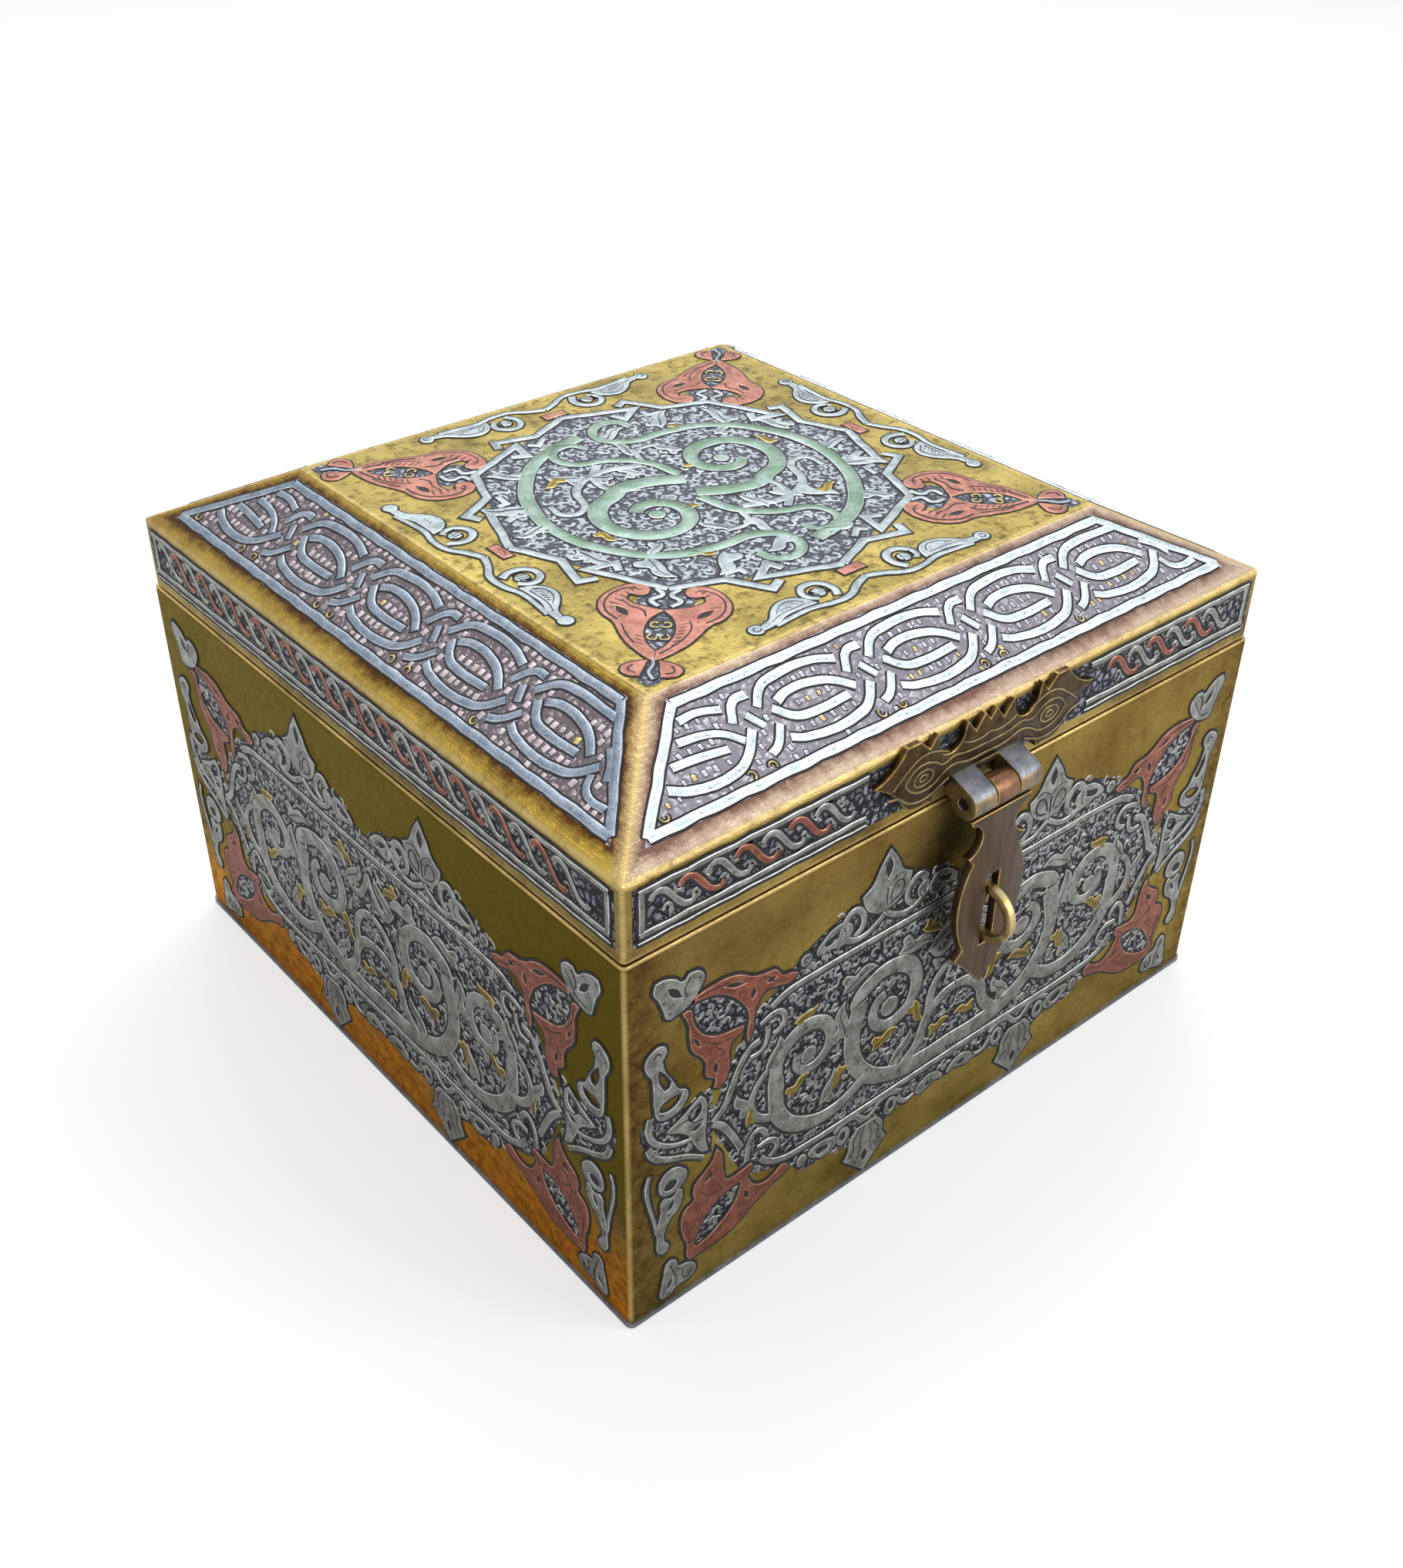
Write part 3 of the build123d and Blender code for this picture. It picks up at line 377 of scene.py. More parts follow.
def ground_metal(name, dark, pale, glint, cell_mm=1.25, share=0.6):
    """Punched ground: small raised lumps of silver between lines filled with black compound."""
    made, tree, place = new_material(name)
    bend = node(tree, "TexNoise", {"Vector": place, "Scale": 1 / (1.6 * MM)}, out="Color")
    by = (1.6 * MM, 1.6 * MM, 1.6 * MM)
    bent = node(tree, "VectorMath", {0: bend, 1: by, 2: place}, {"operation": "MULTIPLY_ADD"})
    cells = {"Vector": bent, "Scale": 1 / (cell_mm * MM)}
    edges = node(tree, "TexVoronoi", cells, {"feature": "DISTANCE_TO_EDGE"})
    lump = node(tree, "MapRange", {0: edges, 1: 0.08, 2: 0.3})
    patch = node(tree, "TexNoise", {"Vector": place, "Scale": 1 / (5.0 * MM), "Detail": 3.0})
    patch = node(tree, "MapRange", {0: patch, 1: 0.35, 2: 0.65, 3: share * 0.5, 4: share * 1.4})
    shown = node(tree, "Math", {0: lump, 1: patch}, TIMES)
    tone = node(tree, "Mix", {0: shown, 6: linear(dark), 7: linear(pale)}, RGBA, 2)
    fine = node(tree, "TexNoise", {"Vector": place, "Scale": 1 / (0.7 * MM)})
    fine = node(tree, "MapRange", {0: fine, 1: 0.58, 2: 0.72})
    fine = node(tree, "Math", {0: fine, 1: lump}, TIMES)
    tone = node(tree, "Mix", {0: fine, 6: tone, 7: linear(glint)}, RGBA, 2)
    rough = node(tree, "MapRange", {0: lump, 3: 0.6, 4: 0.36})
    metal(tree, tone, rough, lump, 0.16, 0.7)
    return made


def cedar_wood(name, grain):
    """Cedar board, oiled and dark, darkened further as a painted shade so that it reads as shadow in the
    seam: red-brown bands along the grain, with fine pores.
    """
    made, tree, place = new_material(name)
    along = node(tree, "Mapping", {0: place, "Scale": grain})
    bands = node(tree, "TexNoise", {"Vector": along, "Scale": 1 / (3.0 * MM), "Detail": 4.0})
    holes = {"Vector": along, "Scale": 1 / (0.8 * MM), "Detail": 3.0, "Roughness": 0.7}
    pores = node(tree, "TexNoise", holes)
    bands = node(tree, "MapRange", {0: bands, 1: 0.36, 2: 0.64})
    tone = node(tree, "Mix", {0: bands, 6: linear("#33190D"), 7: linear("#56301B")}, RGBA, 2)
    dark = node(tree, "MapRange", {0: pores, 1: 0.45, 2: 0.3, 4: 0.6})
    tone = node(tree, "Mix", {0: dark, 6: tone, 7: linear("#1E0E07")}, RGBA, 2)
    rough = node(tree, "MapRange", {0: pores, 1: 0.3, 2: 0.6, 3: 0.55, 4: 0.7})
    metal(tree, tone, rough, pores, 0.1, 0.3, 0.0)
    return made


def all_materials(colours):
    """Every finish of the casket, by the name its pieces ask for."""
    made = {
        # Bare sheet
        "wall": wall_brass("aged_wall_brass_with_painted_light", colours),
        "lid": lid_brass("hammered_lid_brass", colours),
        # Silver: gone grey on the walls, greenish on the top; pale on the front, right and back slopes and
        # darker blue-grey on the left slope, a lit and a shaded copy of one silver, that is painted light and
        # painted shade
        "silver": inlay_metal("tarnished_silver", colours.silver, "#6E6E68", pits=0.7),
        "slope_silver": inlay_metal("pale_lid_silver", colours.silver_lid, "#C0CCD2", rough=0.36),
        "shade_silver": inlay_metal("dark_lid_silver", "#959FAC", "#76818F", rough=0.36),
        "top_silver": inlay_metal("grey_top_silver", "#A8B2B4", "#828E92", rough=0.38, pits=0.3),
        "green_silver": inlay_metal("green_patina_silver", "#93A59C", "#7A9186", "#6A8470", pits=0.3),
        # Copper: deep red on the walls, rubbed pink on the top
        "copper": inlay_metal("red_copper_leaf", colours.copper, "#784434", rough=0.38, pits=0.4),
        "pink_copper": inlay_metal("pink_copper_leaf", "#B27C6E", "#8E5E50", rough=0.38, pits=0.45),
        # Punched grounds: how dark and how lumpy each field looks between its straps
        "wall_ground": ground_metal("punched_silver_ground", colours.ground, "#A6A8B4", "#D4D6DE", 1.5),
        "slope_ground": ground_metal("lilac_silver_ground", "#86838C", "#B4B1B8", "#D6D4DA", 1.9, 0.8),
        # The left slope's darker ground is a shaded copy of the slope ground, a painted shade
        "shade_ground": ground_metal("dark_slope_ground", "#6A6266", "#A29A9E", "#C2BABC", 1.7, 0.7),
        "rim_ground": ground_metal("rim_silver_ground", "#2C2C31", "#9A9DA7", "#D0D2DA", 1.7, 0.6),
        "top_ground": ground_metal("medallion_ground", "#464850", "#98A0AC", "#C6CCD4", 1.7, 0.75),
        # Dark fillings, and the filed strokes of the hasp
        "line": plain_metal("black_compound", "#29272A", "#171618", 0.6, metallic=0.3),
        "tooth_bed": plain_metal("dark_tooth_bed", "#57525E", "#3C3840", 0.5, metallic=0.5),
        "bronze": plain_metal(
            "rubbed_brown_bronze", colours.bronze, "#4C3D2F", 0.38, brushed=(1, 1, 0.08), grain_mm=0.35
        ),
        # Lining
        "cedar": cedar_wood("oiled_cedar", (0.08, 1.0, 1.0)),
        "cedar_side": cedar_wood("oiled_cedar_side", (1.0, 0.08, 1.0)),
    }
    # Rubbed edges, lighter also as a painted highlight, small teeth and fittings: light tone, dark tone and
    # roughness; the left slope's edge is a darker shaded copy, a painted shade
    for finish, name, light, dark, rough in (
        ("silver_edge", "rubbed_highlit_silver_edge", "#D2D4D0", "#8E908E", 0.32),
        ("slope_edge", "rubbed_highlit_lid_silver_edge", "#EEF2F2", "#B8C4C8", 0.32),
        ("shade_edge", "rubbed_highlit_shaded_silver_edge", "#BCC6D0", "#7E8994", 0.32),
        ("top_edge", "rubbed_highlit_top_silver_edge", "#D8E0E2", "#98A4A8", 0.32),
        ("copper_edge", "rubbed_highlit_copper_edge", "#D2A28E", "#8C5442", 0.32),
        ("gold", "ochre_brass_leaf", "#A08A34", "#6E5A20", 0.36),
        ("pale_tooth", "pale_tooth_silver", "#D8DCE2", "#A8ACB8", 0.34),
        ("gilt_tooth", "gilt_tooth_brass", "#E6D6A0", "#BCA464", 0.34),
        ("lilac_lump", "lilac_lump_silver", "#D6CCCE", "#A89C9E", 0.4),
        ("bronze_edge", "bright_bronze_edge", "#C9AC6C", "#8C6E3C", 0.3),
        ("plate_bronze", "engraved_plate_bronze", "#5C4829", "#332519", 0.38),
        ("plate_edge", "rubbed_highlit_plate_edge", "#B69A5C", "#6A5430", 0.34),
        ("plate_line", "pale_cut_line", "#A48E5E", "#6E5836", 0.34),
        ("pale_brass", "worn_pale_brass", "#DFD0A4", "#AC9256", 0.3),
        ("barrel", "barrel_bronze", "#A08A68", "#6E655A", 0.32),
        ("coppery", "coppery_knuckle", "#8E6A50", "#664A38", 0.32),
        ("tin", "dull_tin_solder", "#94979C", "#6A6C72", 0.42),
        ("iron", "dark_iron_wire", "#4A4440", "#241F1D", 0.45),
    ):
        made[finish] = plain_metal(name, light, dark, rough)
    return made


class Drawing:
    """The ornament of one face in millimetres: straps, plates and engraved lines, by metal."""

    def __init__(self):
        self.straps = {}
        self.plates = {}
        self.beads = []
        self.gilt = []
        self.place = Matrix.Identity(3)

    def at(self, x=0, y=0, turn=0, flip=1, tip=1):
        """Draw what follows from here on at this place, turned or mirrored."""
        spin = Matrix.Rotation(radians(turn), 3, "Z")
        self.place = Matrix(((1, 0, x), (0, 1, y), (0, 0, 1))) @ spin @ Matrix.Diagonal((flip, tip, 1))

    def within(self, x, y, size=1, flip=1):
        """Draw what follows at a place within the present one, and give the present one back."""
        keep = self.place
        self.place = keep @ Matrix(((size * flip, 0, x), (0, size, y), (0, 0, 1)))
        return keep

    def put(self, point):
        """A point where it lies on the face; a third number says that it is a corner or a width."""
        lies = self.place @ Vector((point[0], point[1], 1))
        return (lies.x, lies.y, *point[2:])

    def strap(self, metal, points, width, end=None, smooth=True):
        """A strap along the points, its width going from width to end."""
        size = abs(self.place.determinant()) ** 0.5
        end = width if end is None else end
        points = [self.put(p) for p in points]
        shape = (points if smooth else hand_cut(points), width * size, end * size, smooth)
        self.straps.setdefault(metal, []).append(shape)

    def plate(self, metal, *loops):
        """A flat leaf or disc: an outer outline, then the outlines of its openings."""
        self.plates.setdefault(metal, []).append([[self.put(p) for p in loop] for loop in loops])

    def vein(self, points, width=0.42, end=None):
        """An engraved line filled with black."""
        self.strap("vein", points, width, end)

    def bead(self, x, y, wide, long, turn=90):
        """A small raised tooth, its length along the angle given."""
        middle = self.put((x, y))
        tip = self.put((x + cos(radians(turn)), y + sin(radians(turn))))
        self.beads.append((*middle, (tip[0] - middle[0], tip[1] - middle[1]), wide, long))

    def rope(self, points, pitch=0.85, wide=0.34, long=0.5, twist=55):
        """Slanted teeth along a line, like the twist of a rope."""
        for (ax, ay), (bx, by) in zip(points, points[1:]):
            run = hypot(bx - ax, by - ay)
            turn = atan2(by - ay, bx - ax) * 180 / pi + twist
            count = int(run / pitch)
            for k in range(count):
                share = (k + 0.5) / count
                self.bead(ax + (bx - ax) * share, ay + (by - ay) * share, wide, long, turn)


# How far a line cut by hand strays to each side, and how often
WAVER = 0.11
WAVER_RUN = 3.2


def hand_cut(points):
    """A straight line broken into short runs that waver a little, as a line cut by hand does."""
    wavy = [points[0]]
    for (ax, ay, *_), (bx, by, *corner) in zip(points, points[1:]):
        run = hypot(bx - ax, by - ay)
        count = max(int(run / WAVER_RUN), 1)
        for k in range(1, count):
            share = k / count
            off = WAVER * sin(1.9 * (ax + ay) + 2.3 * k)
            x = ax + (bx - ax) * share - (by - ay) / run * off
            y = ay + (by - ay) * share + (bx - ax) / run * off
            wavy.append((x, y))
        wavy.append((bx, by, *corner))
    return wavy


def ring(x, y, wide, high=None, count=8):
    """Points of a small circle or oval."""
    high = wide if high is None else high
    return [(x + wide * cos(2 * pi * k / count), y + high * sin(2 * pi * k / count)) for k in range(count)]


def almond(x, y, length, width, turn=0):
    """A pointed oval about a centre, turned by an angle in degrees."""
    c, s = cos(radians(turn)), sin(radians(turn))
    half = [(-length / 2, 0, 1), (0, width / 2), (length / 2, 0, 1), (0, -width / 2)]
    return [(x + c * p[0] - s * p[1], y + s * p[0] + c * p[1], *p[2:]) for p in half]


def volute(x, y, outer, inner, start, sweep, count=12):
    """Points of a spiral that winds in about a centre; start and sweep are in degrees."""
    points = []
    for k in range(count + 1):
        share = k / count
        angle = radians(start + sweep * share)
        reach = outer + (inner - outer) * share
        points.append((x + reach * cos(angle), y + reach * sin(angle)))
    return points


def half_leaf(drawing, metal, x, y, turn, length, flip):
    """A split palmette leaf that grows from a point: a curled lobe below and a long pointed one."""
    keep = drawing.place.copy()
    spin = Matrix.Rotation(radians(turn), 3, "Z")
    size = length / 10
    lay = Matrix(((1, 0, x), (0, 1, y), (0, 0, 1))) @ spin @ Matrix.Diagonal((size, size * flip, 1))
    drawing.place = keep @ lay
    drawing.plate(
        metal,
        [
            (0, 0, 1), (1.2, 1.5), (0.8, 3), (2.2, 3.9), (3.4, 3), (4.4, 1.9), (6.4, 2.4),
            (8.6, 1.6), (10.2, -0.9, 1), (8, -0.5), (5.2, -1), (2.4, -1),
        ],
    )
    drawing.vein([(1.4, 0.2), (4.2, 0.5), (6.6, 0.9), (8.9, 0.2)], 0.4, 0.2)
    drawing.vein([(1.7, 2.7), (2.4, 2.9), (2.7, 2.3)], 0.35)
    drawing.place = keep


# How much a strap's width changes along it
UNEVEN = 0.07


def add_spline(curve, points, cyclic, smooth, widths):
    """One spline through the points; a point marked 1 is a corner, the rest run smoothly."""
    spline = curve.splines.new("BEZIER")
    spline.use_cyclic_u = cyclic
    spline.bezier_points.add(len(points) - 1)
    for k, (knot, point) in enumerate(zip(spline.bezier_points, points)):
        knot.co = (point[0], point[1], 0)
        corner = len(point) > 2 or not smooth
        knot.handle_left_type = knot.handle_right_type = "VECTOR" if corner else "AUTO"
        if widths:
            share = k / (len(points) - 1)
            uneven = 1 + UNEVEN * sin(2.7 * point[0] + 1.3 * point[1])
            knot.radius = (widths[0] + (widths[1] - widths[0]) * share) * uneven


def curve_mesh(curve):
    """The curve as a mesh, in the curve's own plane."""
    holder = bpy.data.objects.new("holder", curve)
    bpy.context.scene.collection.objects.link(holder)
    shown = holder.evaluated_get(bpy.context.evaluated_depsgraph_get())
    made = bpy.data.meshes.new_from_object(shown)
    bpy.data.objects.remove(holder)
    return made


def flat_curve(name, steps=4):
    """A flat curve with so many steps between two of its points."""
    curve = bpy.data.curves.new(name, "CURVE")
    curve.dimensions = "2D"
    curve.resolution_u = steps
    return curve


# A strap's section, the small steps in height that keep crossing straps out of one plane, and how
# level a face is that still counts as the upper one
SECTION_HEIGHTS = (0, 0.62, 1, 1, 0.62, 0)
LEVELS = 10
LEVEL_STEP = 0.006
UPWARD = 0.93


def strap_section(share):
    """Section of a strap that is one wide and one high; its upper edges are rounded over a share of it."""
    curve = flat_curve("strap_section", 1)
    spline = curve.splines.new("POLY")
    reach = (-0.5, 0.3 * share - 0.5, share - 0.5, 0.5 - share, 0.5 - 0.3 * share, 0.5)
    spline.points.add(len(reach) - 1)
    for knot, x, y in zip(spline.points, reach, SECTION_HEIGHTS):
        knot.co = (x, y, 0, 1)
    spline.use_cyclic_u = True
    holder = bpy.data.objects.new("strap_section", curve)
    bpy.context.scene.collection.objects.link(holder)
    return holder


def straps_mesh(straps, height, bevel, widen=0, steps=4):
    """The straps as meshes, no two neighbours in one plane; widen adds to each width, for the black line."""
    groups = {}
    for k, strap in enumerate(straps):
        groups.setdefault((round(strap[1], 1), k % LEVELS), []).append(strap)
    meshes = []
    for (width, level), chosen in groups.items():
        section = strap_section(min(bevel / (width + widen), 0.42))
        curve = flat_curve("straps", steps)
        curve.fill_mode = "NONE"
        curve.bevel_mode = "OBJECT"
        curve.bevel_object = section
        curve.use_fill_caps = True
        for points, start, end, smooth in chosen:
            add_spline(curve, points, False, smooth, (start + widen, end + widen))
        made = curve_mesh(curve)
        bpy.data.objects.remove(section)
        top = height - LEVEL_STEP * level
        for vertex in made.vertices:
            vertex.co.z = top * SECTION_HEIGHTS[vertex.index % len(SECTION_HEIGHTS)]
        meshes.append(made)
    return meshes


# Openings of a leaf up to this area, in square millimetres, fill with the black line
SMALL_HOLE = 5


def area(loop):
    """Area inside a loop, in square millimetres."""
    return abs(sum(a[0] * b[1] - b[0] * a[1] for a, b in zip(loop, loop[1:] + loop[:1]))) / 2


def plates_mesh(plates, height, bevel, widen=0):
    """The flat leaves as meshes with bevelled upper edges; small holes close in the black line."""
    meshes = []
    levels = min(LEVELS, int(height / LEVEL_STEP) - 1)
    for k, loops in enumerate(plates):
        top = height - LEVEL_STEP * (k % levels + 0.5)
        curve = flat_curve("plate")
        curve.fill_mode = "BOTH"
        curve.bevel_depth = min(bevel, top * 0.9)
        curve.bevel_resolution = 1
        curve.extrude = top - curve.bevel_depth
        curve.offset = widen - curve.bevel_depth
        for loop in loops:
            if widen == 0 or loop is loops[0] or area(loop) > SMALL_HOLE:
                add_spline(curve, loop, True, True, None)
        made = curve_mesh(curve)
        for vertex in made.vertices:
            vertex.co.z = max(vertex.co.z, 0)
        meshes.append(made)
    return meshes


# Teeth made in one go, which is quicker than all of them in one mesh
TEETH_AT_ONCE = 64


def beads_mesh(beads, height, widen=0):
    """Small raised teeth with four sloping sides, as meshes of some teeth each."""
    meshes = []
    square = Matrix.Rotation(pi / 4, 4, "Z") @ Matrix.Scale(2**0.5, 4)
    for first in range(0, len(beads), TEETH_AT_ONCE):
        made = bmesh.new()
        for x, y, (along_x, along_y), wide, long in beads[first : first + TEETH_AT_ONCE]:
            lay = Matrix((
                (along_y, along_x, 0, x), (-along_x, along_y, 0, y), (0, 0, 1, height / 2), (0, 0, 0, 1),
            ))
            size = Matrix.Diagonal((wide + widen, long + widen, height / 2**0.5, 1))
            place = lay @ size @ square
            bmesh.ops.create_cone(made, segments=4, radius1=0.5, radius2=0.3, depth=1, matrix=place)
        upper = [e for e in made.edges if min(v.co.z for v in e.verts) > height / 2]
        bmesh.ops.holes_fill(made, edges=upper, sides=4)
        mesh = bpy.data.meshes.new("teeth")
        made.to_mesh(mesh)
        made.free()
        meshes.append(mesh)
    return meshes


def finish_piece(name, made, finishes, body, replaces=(), crease=40):
    """Turn a worked shape into a piece: its creases, finishes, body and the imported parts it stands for."""
    for face in made.faces:
        face.smooth = True
    mesh = bpy.data.meshes.new(name)
    made.to_mesh(mesh)
    made.free()
    mesh.set_sharp_from_angle(angle=radians(crease))
    for finish in finishes:
        mesh.materials.append(MATERIALS[finish])
    piece = bpy.data.objects.new(name, mesh)
    bpy.context.scene.collection.objects.link(piece)
    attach(piece, body)
    if replaces:
        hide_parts(*replaces)


def lay_piece(name, groups, matrix, body, replaces=()):
    """Join meshes drawn on a face into one piece. A group is meshes, their top finish and edge finish."""
    made = bmesh.new()
    finishes = list(dict.fromkeys(finish for meshes, *pair in groups for finish in pair))
    for meshes, top, edge in groups:
        for mesh in meshes:
            first = len(made.faces)
            made.from_mesh(mesh)
            made.faces.ensure_lookup_table()
            for face in made.faces[first:]:
                face.normal_update()
                # Sloping faces take the edge finish, lighter as worn metal and as a painted highlight
                face.material_index = finishes.index(top if face.normal.z > UPWARD else edge)
    made.transform(matrix)
    finish_piece(name, made, finishes, body, replaces, crease=42)


# The finish of each metal's upper face and of its worn edge; a lighter edge finish is also a painted
# highlight
FINISH = {
    "silver": ("silver", "silver_edge"),
    "slope": ("slope_silver", "slope_edge"),
    "shade": ("shade_silver", "shade_edge"),
    "top": ("top_silver", "top_edge"),
    "green": ("green_silver", "top_edge"),
    "copper": ("copper", "copper_edge"),
    "gold": ("gold", "pale_brass"),
    "gilt": ("gilt_tooth", "gilt_tooth"),
    "pale": ("pale_tooth", "pale_tooth"),
    "lump": ("lilac_lump", "lilac_lump"),
}


def drawn(drawing, metal, height, bevel, widen=0):
    """The straps and plates of one metal, at a height and with a worn edge."""
    straps = straps_mesh(drawing.straps.get(metal, []), height, bevel, widen * 2)
    return straps + plates_mesh(drawing.plates.get(metal, []), height, bevel, widen)


# The black line's bevel, how far an engraved line stands over the inlay and a tooth's dark bed over
# the ground, and how far the bed shows round the tooth
GROOVE_BEVEL = 0.02
VEIN_RISE = 0.025
BED_RISE = 0.03
BED_MARGIN = 0.5


def inlay_groups(drawing, sizes, metals, ground, curls, fine=1):
    """What a drawing gives, by piece: each metal, the black lines round it, and the punched ground."""
    groups = {}
    lines = []
    for metal in metals:
        groups[metal] = [(drawn(drawing, metal, sizes.relief, sizes.bevel), *FINISH[metal])]
        lines += drawn(drawing, metal, sizes.groove, GROOVE_BEVEL, sizes.groove_width * fine)
    lines += straps_mesh(drawing.straps.get("vein", []), sizes.relief + VEIN_RISE, 0.05)
    groups["lines"] = [(lines, "line", "line")]
    low = straps_mesh(drawing.straps.get("low", []), sizes.curl, 0.14, steps=3)
    groups["ground"] = [
        (plates_mesh(drawing.plates["ground"], sizes.pad, 0.01), ground, "line"),
        (low + beads_mesh(drawing.beads, sizes.curl), *FINISH[curls]),
    ]
    if drawing.gilt:
        bed = beads_mesh(drawing.beads + drawing.gilt, sizes.pad + BED_RISE, BED_MARGIN)
        groups["ground"].append((bed, "tooth_bed", "tooth_bed"))
        groups["ground"].append((beads_mesh(drawing.gilt, sizes.curl), *FINISH["gilt"]))
    return groups


def lay_groups(name, groups, matrix, body, replaces):
    """Lay every piece of a drawing on one face of the casket."""
    for kind, meshes in groups.items():
        lay_piece(f"{name}_{kind}", meshes, matrix, body, replaces.get(kind, ()))


# Share of the curls that is still there
KEPT_CURLS = 1


def scatter_curls(drawing, inside, spacing, size, width, seed):
    """Small C-shaped curls all over a region, each turned at random, on a loose grid."""
    random = Random(seed)
    low_x, low_y, high_x, high_y = inside.box
    rows = int((high_y - low_y) / spacing)
    columns = int((high_x - low_x) / spacing)
    for row in range(rows + 1):
        for column in range(columns + 1):
            x = low_x + (column + random.uniform(0.1, 0.9)) * spacing
            y = low_y + (row + random.uniform(0.1, 0.9)) * spacing
            turn = random.uniform(0, 360)
            sweep = random.choice((-1, 1)) * random.uniform(150, 260)
            if inside(x, y) and random.random() < KEPT_CURLS:
                drawing.strap("low", volute(x, y, size, size * 0.45, turn, sweep, 4), width, width * 0.6)


class Region:
    """A polygon on a face, for telling whether a point lies inside it."""

    def __init__(self, points):
        self.points = points
        xs = [p[0] for p in points]
        ys = [p[1] for p in points]
        self.box = (min(xs), min(ys), max(xs), max(ys))

    def __call__(self, x, y):
        inside = False
        for (ax, ay), (bx, by) in zip(self.points, self.points[1:] + self.points[:1]):
            if (ay > y) != (by > y) and x < (bx - ax) * (y - ay) / (by - ay) + ax:
                inside = not inside
        return inside


# Wall ornament. Points of the left half count from the wall's left edge, and the right half
# is its mirror image.
LOTUS_MIDDLE = 58.2


def draw_wall_frame(d):
    """Left half of the silver frame of a wall, with the hooks where its corners are knotted."""
    d.strap("silver", [(80, 61.5), (38, 61.5), (34.5, 61), (31.4, 59.7)], 1.6)
    d.strap("silver", [(80, 19.4), (38, 19.4), (34.8, 20.2), (32, 21.8), (30.1, 24)], 1.6)
    for y in (62.75, 60.25, 20.65, 18.15):
        d.rope([(39, y), (79.8, y)])
    d.strap("silver", [(18.6, 40.5), (21, 42.4), (22.7, 46), (24.6, 50.2), (26.6, 52.8), (29, 53.5)], 1.6)
    d.strap("silver", [(18.5, 40.2), (20.6, 38.4), (22.6, 35.4), (25.4, 29.6)], 1.6)
    d.strap("silver", [(27, 50.6), (29.4, 50.8), (30.6, 52.6), (30.9, 55.2)], 1.2)
    d.strap("silver", [(29, 57), (31.2, 57.8), (33.6, 57.6), (34.8, 55.5), (34, 53.8), (32.2, 53)], 1.3)
    d.strap("silver", [(26.8, 25.2), (27.9, 30.6), (29.5, 31.4), (31.5, 29.4)], 1.3)
    d.strap("silver", [(29.3, 26.9), (32.4, 26.9), (34.3, 25), (33.8, 23.3), (32.5, 22.5)], 1.3)


def draw_upper_copper(d):
    """Copper leaf that clasps an upper corner of the frame: two lobes with an open middle."""
    d.plate(
        "copper",
        [
            (14.2, 70.6, 1), (14.3, 71.9, 1), (17.2, 72.2), (20.8, 72.2), (24.2, 71.2), (27, 69.3),
            (29.8, 68.4), (32, 68), (33.8, 65.8), (35.8, 65.3), (37.4, 64.4, 1), (36.2, 63.2),
            (33, 63.8), (30.4, 64.4), (28.6, 63.2), (27.5, 60), (27.2, 56.4), (26.2, 54.7, 1),
            (25.9, 57.2), (26.3, 60.2), (25.2, 63.6), (23, 66.6), (19.8, 69.2), (16.6, 70.3),
        ],
        almond(22.9, 69.6, 4.4, 0.9, -22), almond(27.1, 65.4, 2.4, 1.1, 80), almond(31.2, 66.2, 2, 0.9, 0),
    )
    d.plate(
        "copper",
        [
            (11.6, 69.7, 1), (13.4, 69.6), (14, 67), (15.4, 63.8), (17.6, 61.5), (20.2, 60.3),
            (23.4, 59.7), (25.3, 59.4, 1), (24.9, 58.2), (22.6, 57), (22, 54.6), (22.2, 52.2),
            (21.6, 49.6), (20.3, 48.2), (18.6, 48.8, 1), (19, 50.6), (17, 52.4), (16.8, 55.4),
            (15.8, 57.6), (13.9, 60), (13.2, 63.2), (13, 66.2),
        ],
        almond(19, 53.4, 2.8, 1, 100), almond(14.8, 61.6, 2.6, 0.7, 118),
    )
    d.vein([(15, 71.4), (18.5, 71.3), (21.5, 70.9)], 0.3)
    d.vein([(17.2, 60.2), (19.6, 58.6), (22.2, 58.3)], 0.35, 0.15)
    d.vein([(19.2, 57.6), (20.4, 56.6), (20.6, 54.9)], 0.3, 0.15)
    d.vein([(28, 67.6), (30, 67.4), (32.2, 65.2), (35, 64.3)], 0.3)
    d.vein([(12.9, 68.8), (13.7, 65.4), (15.2, 62.8)], 0.25)


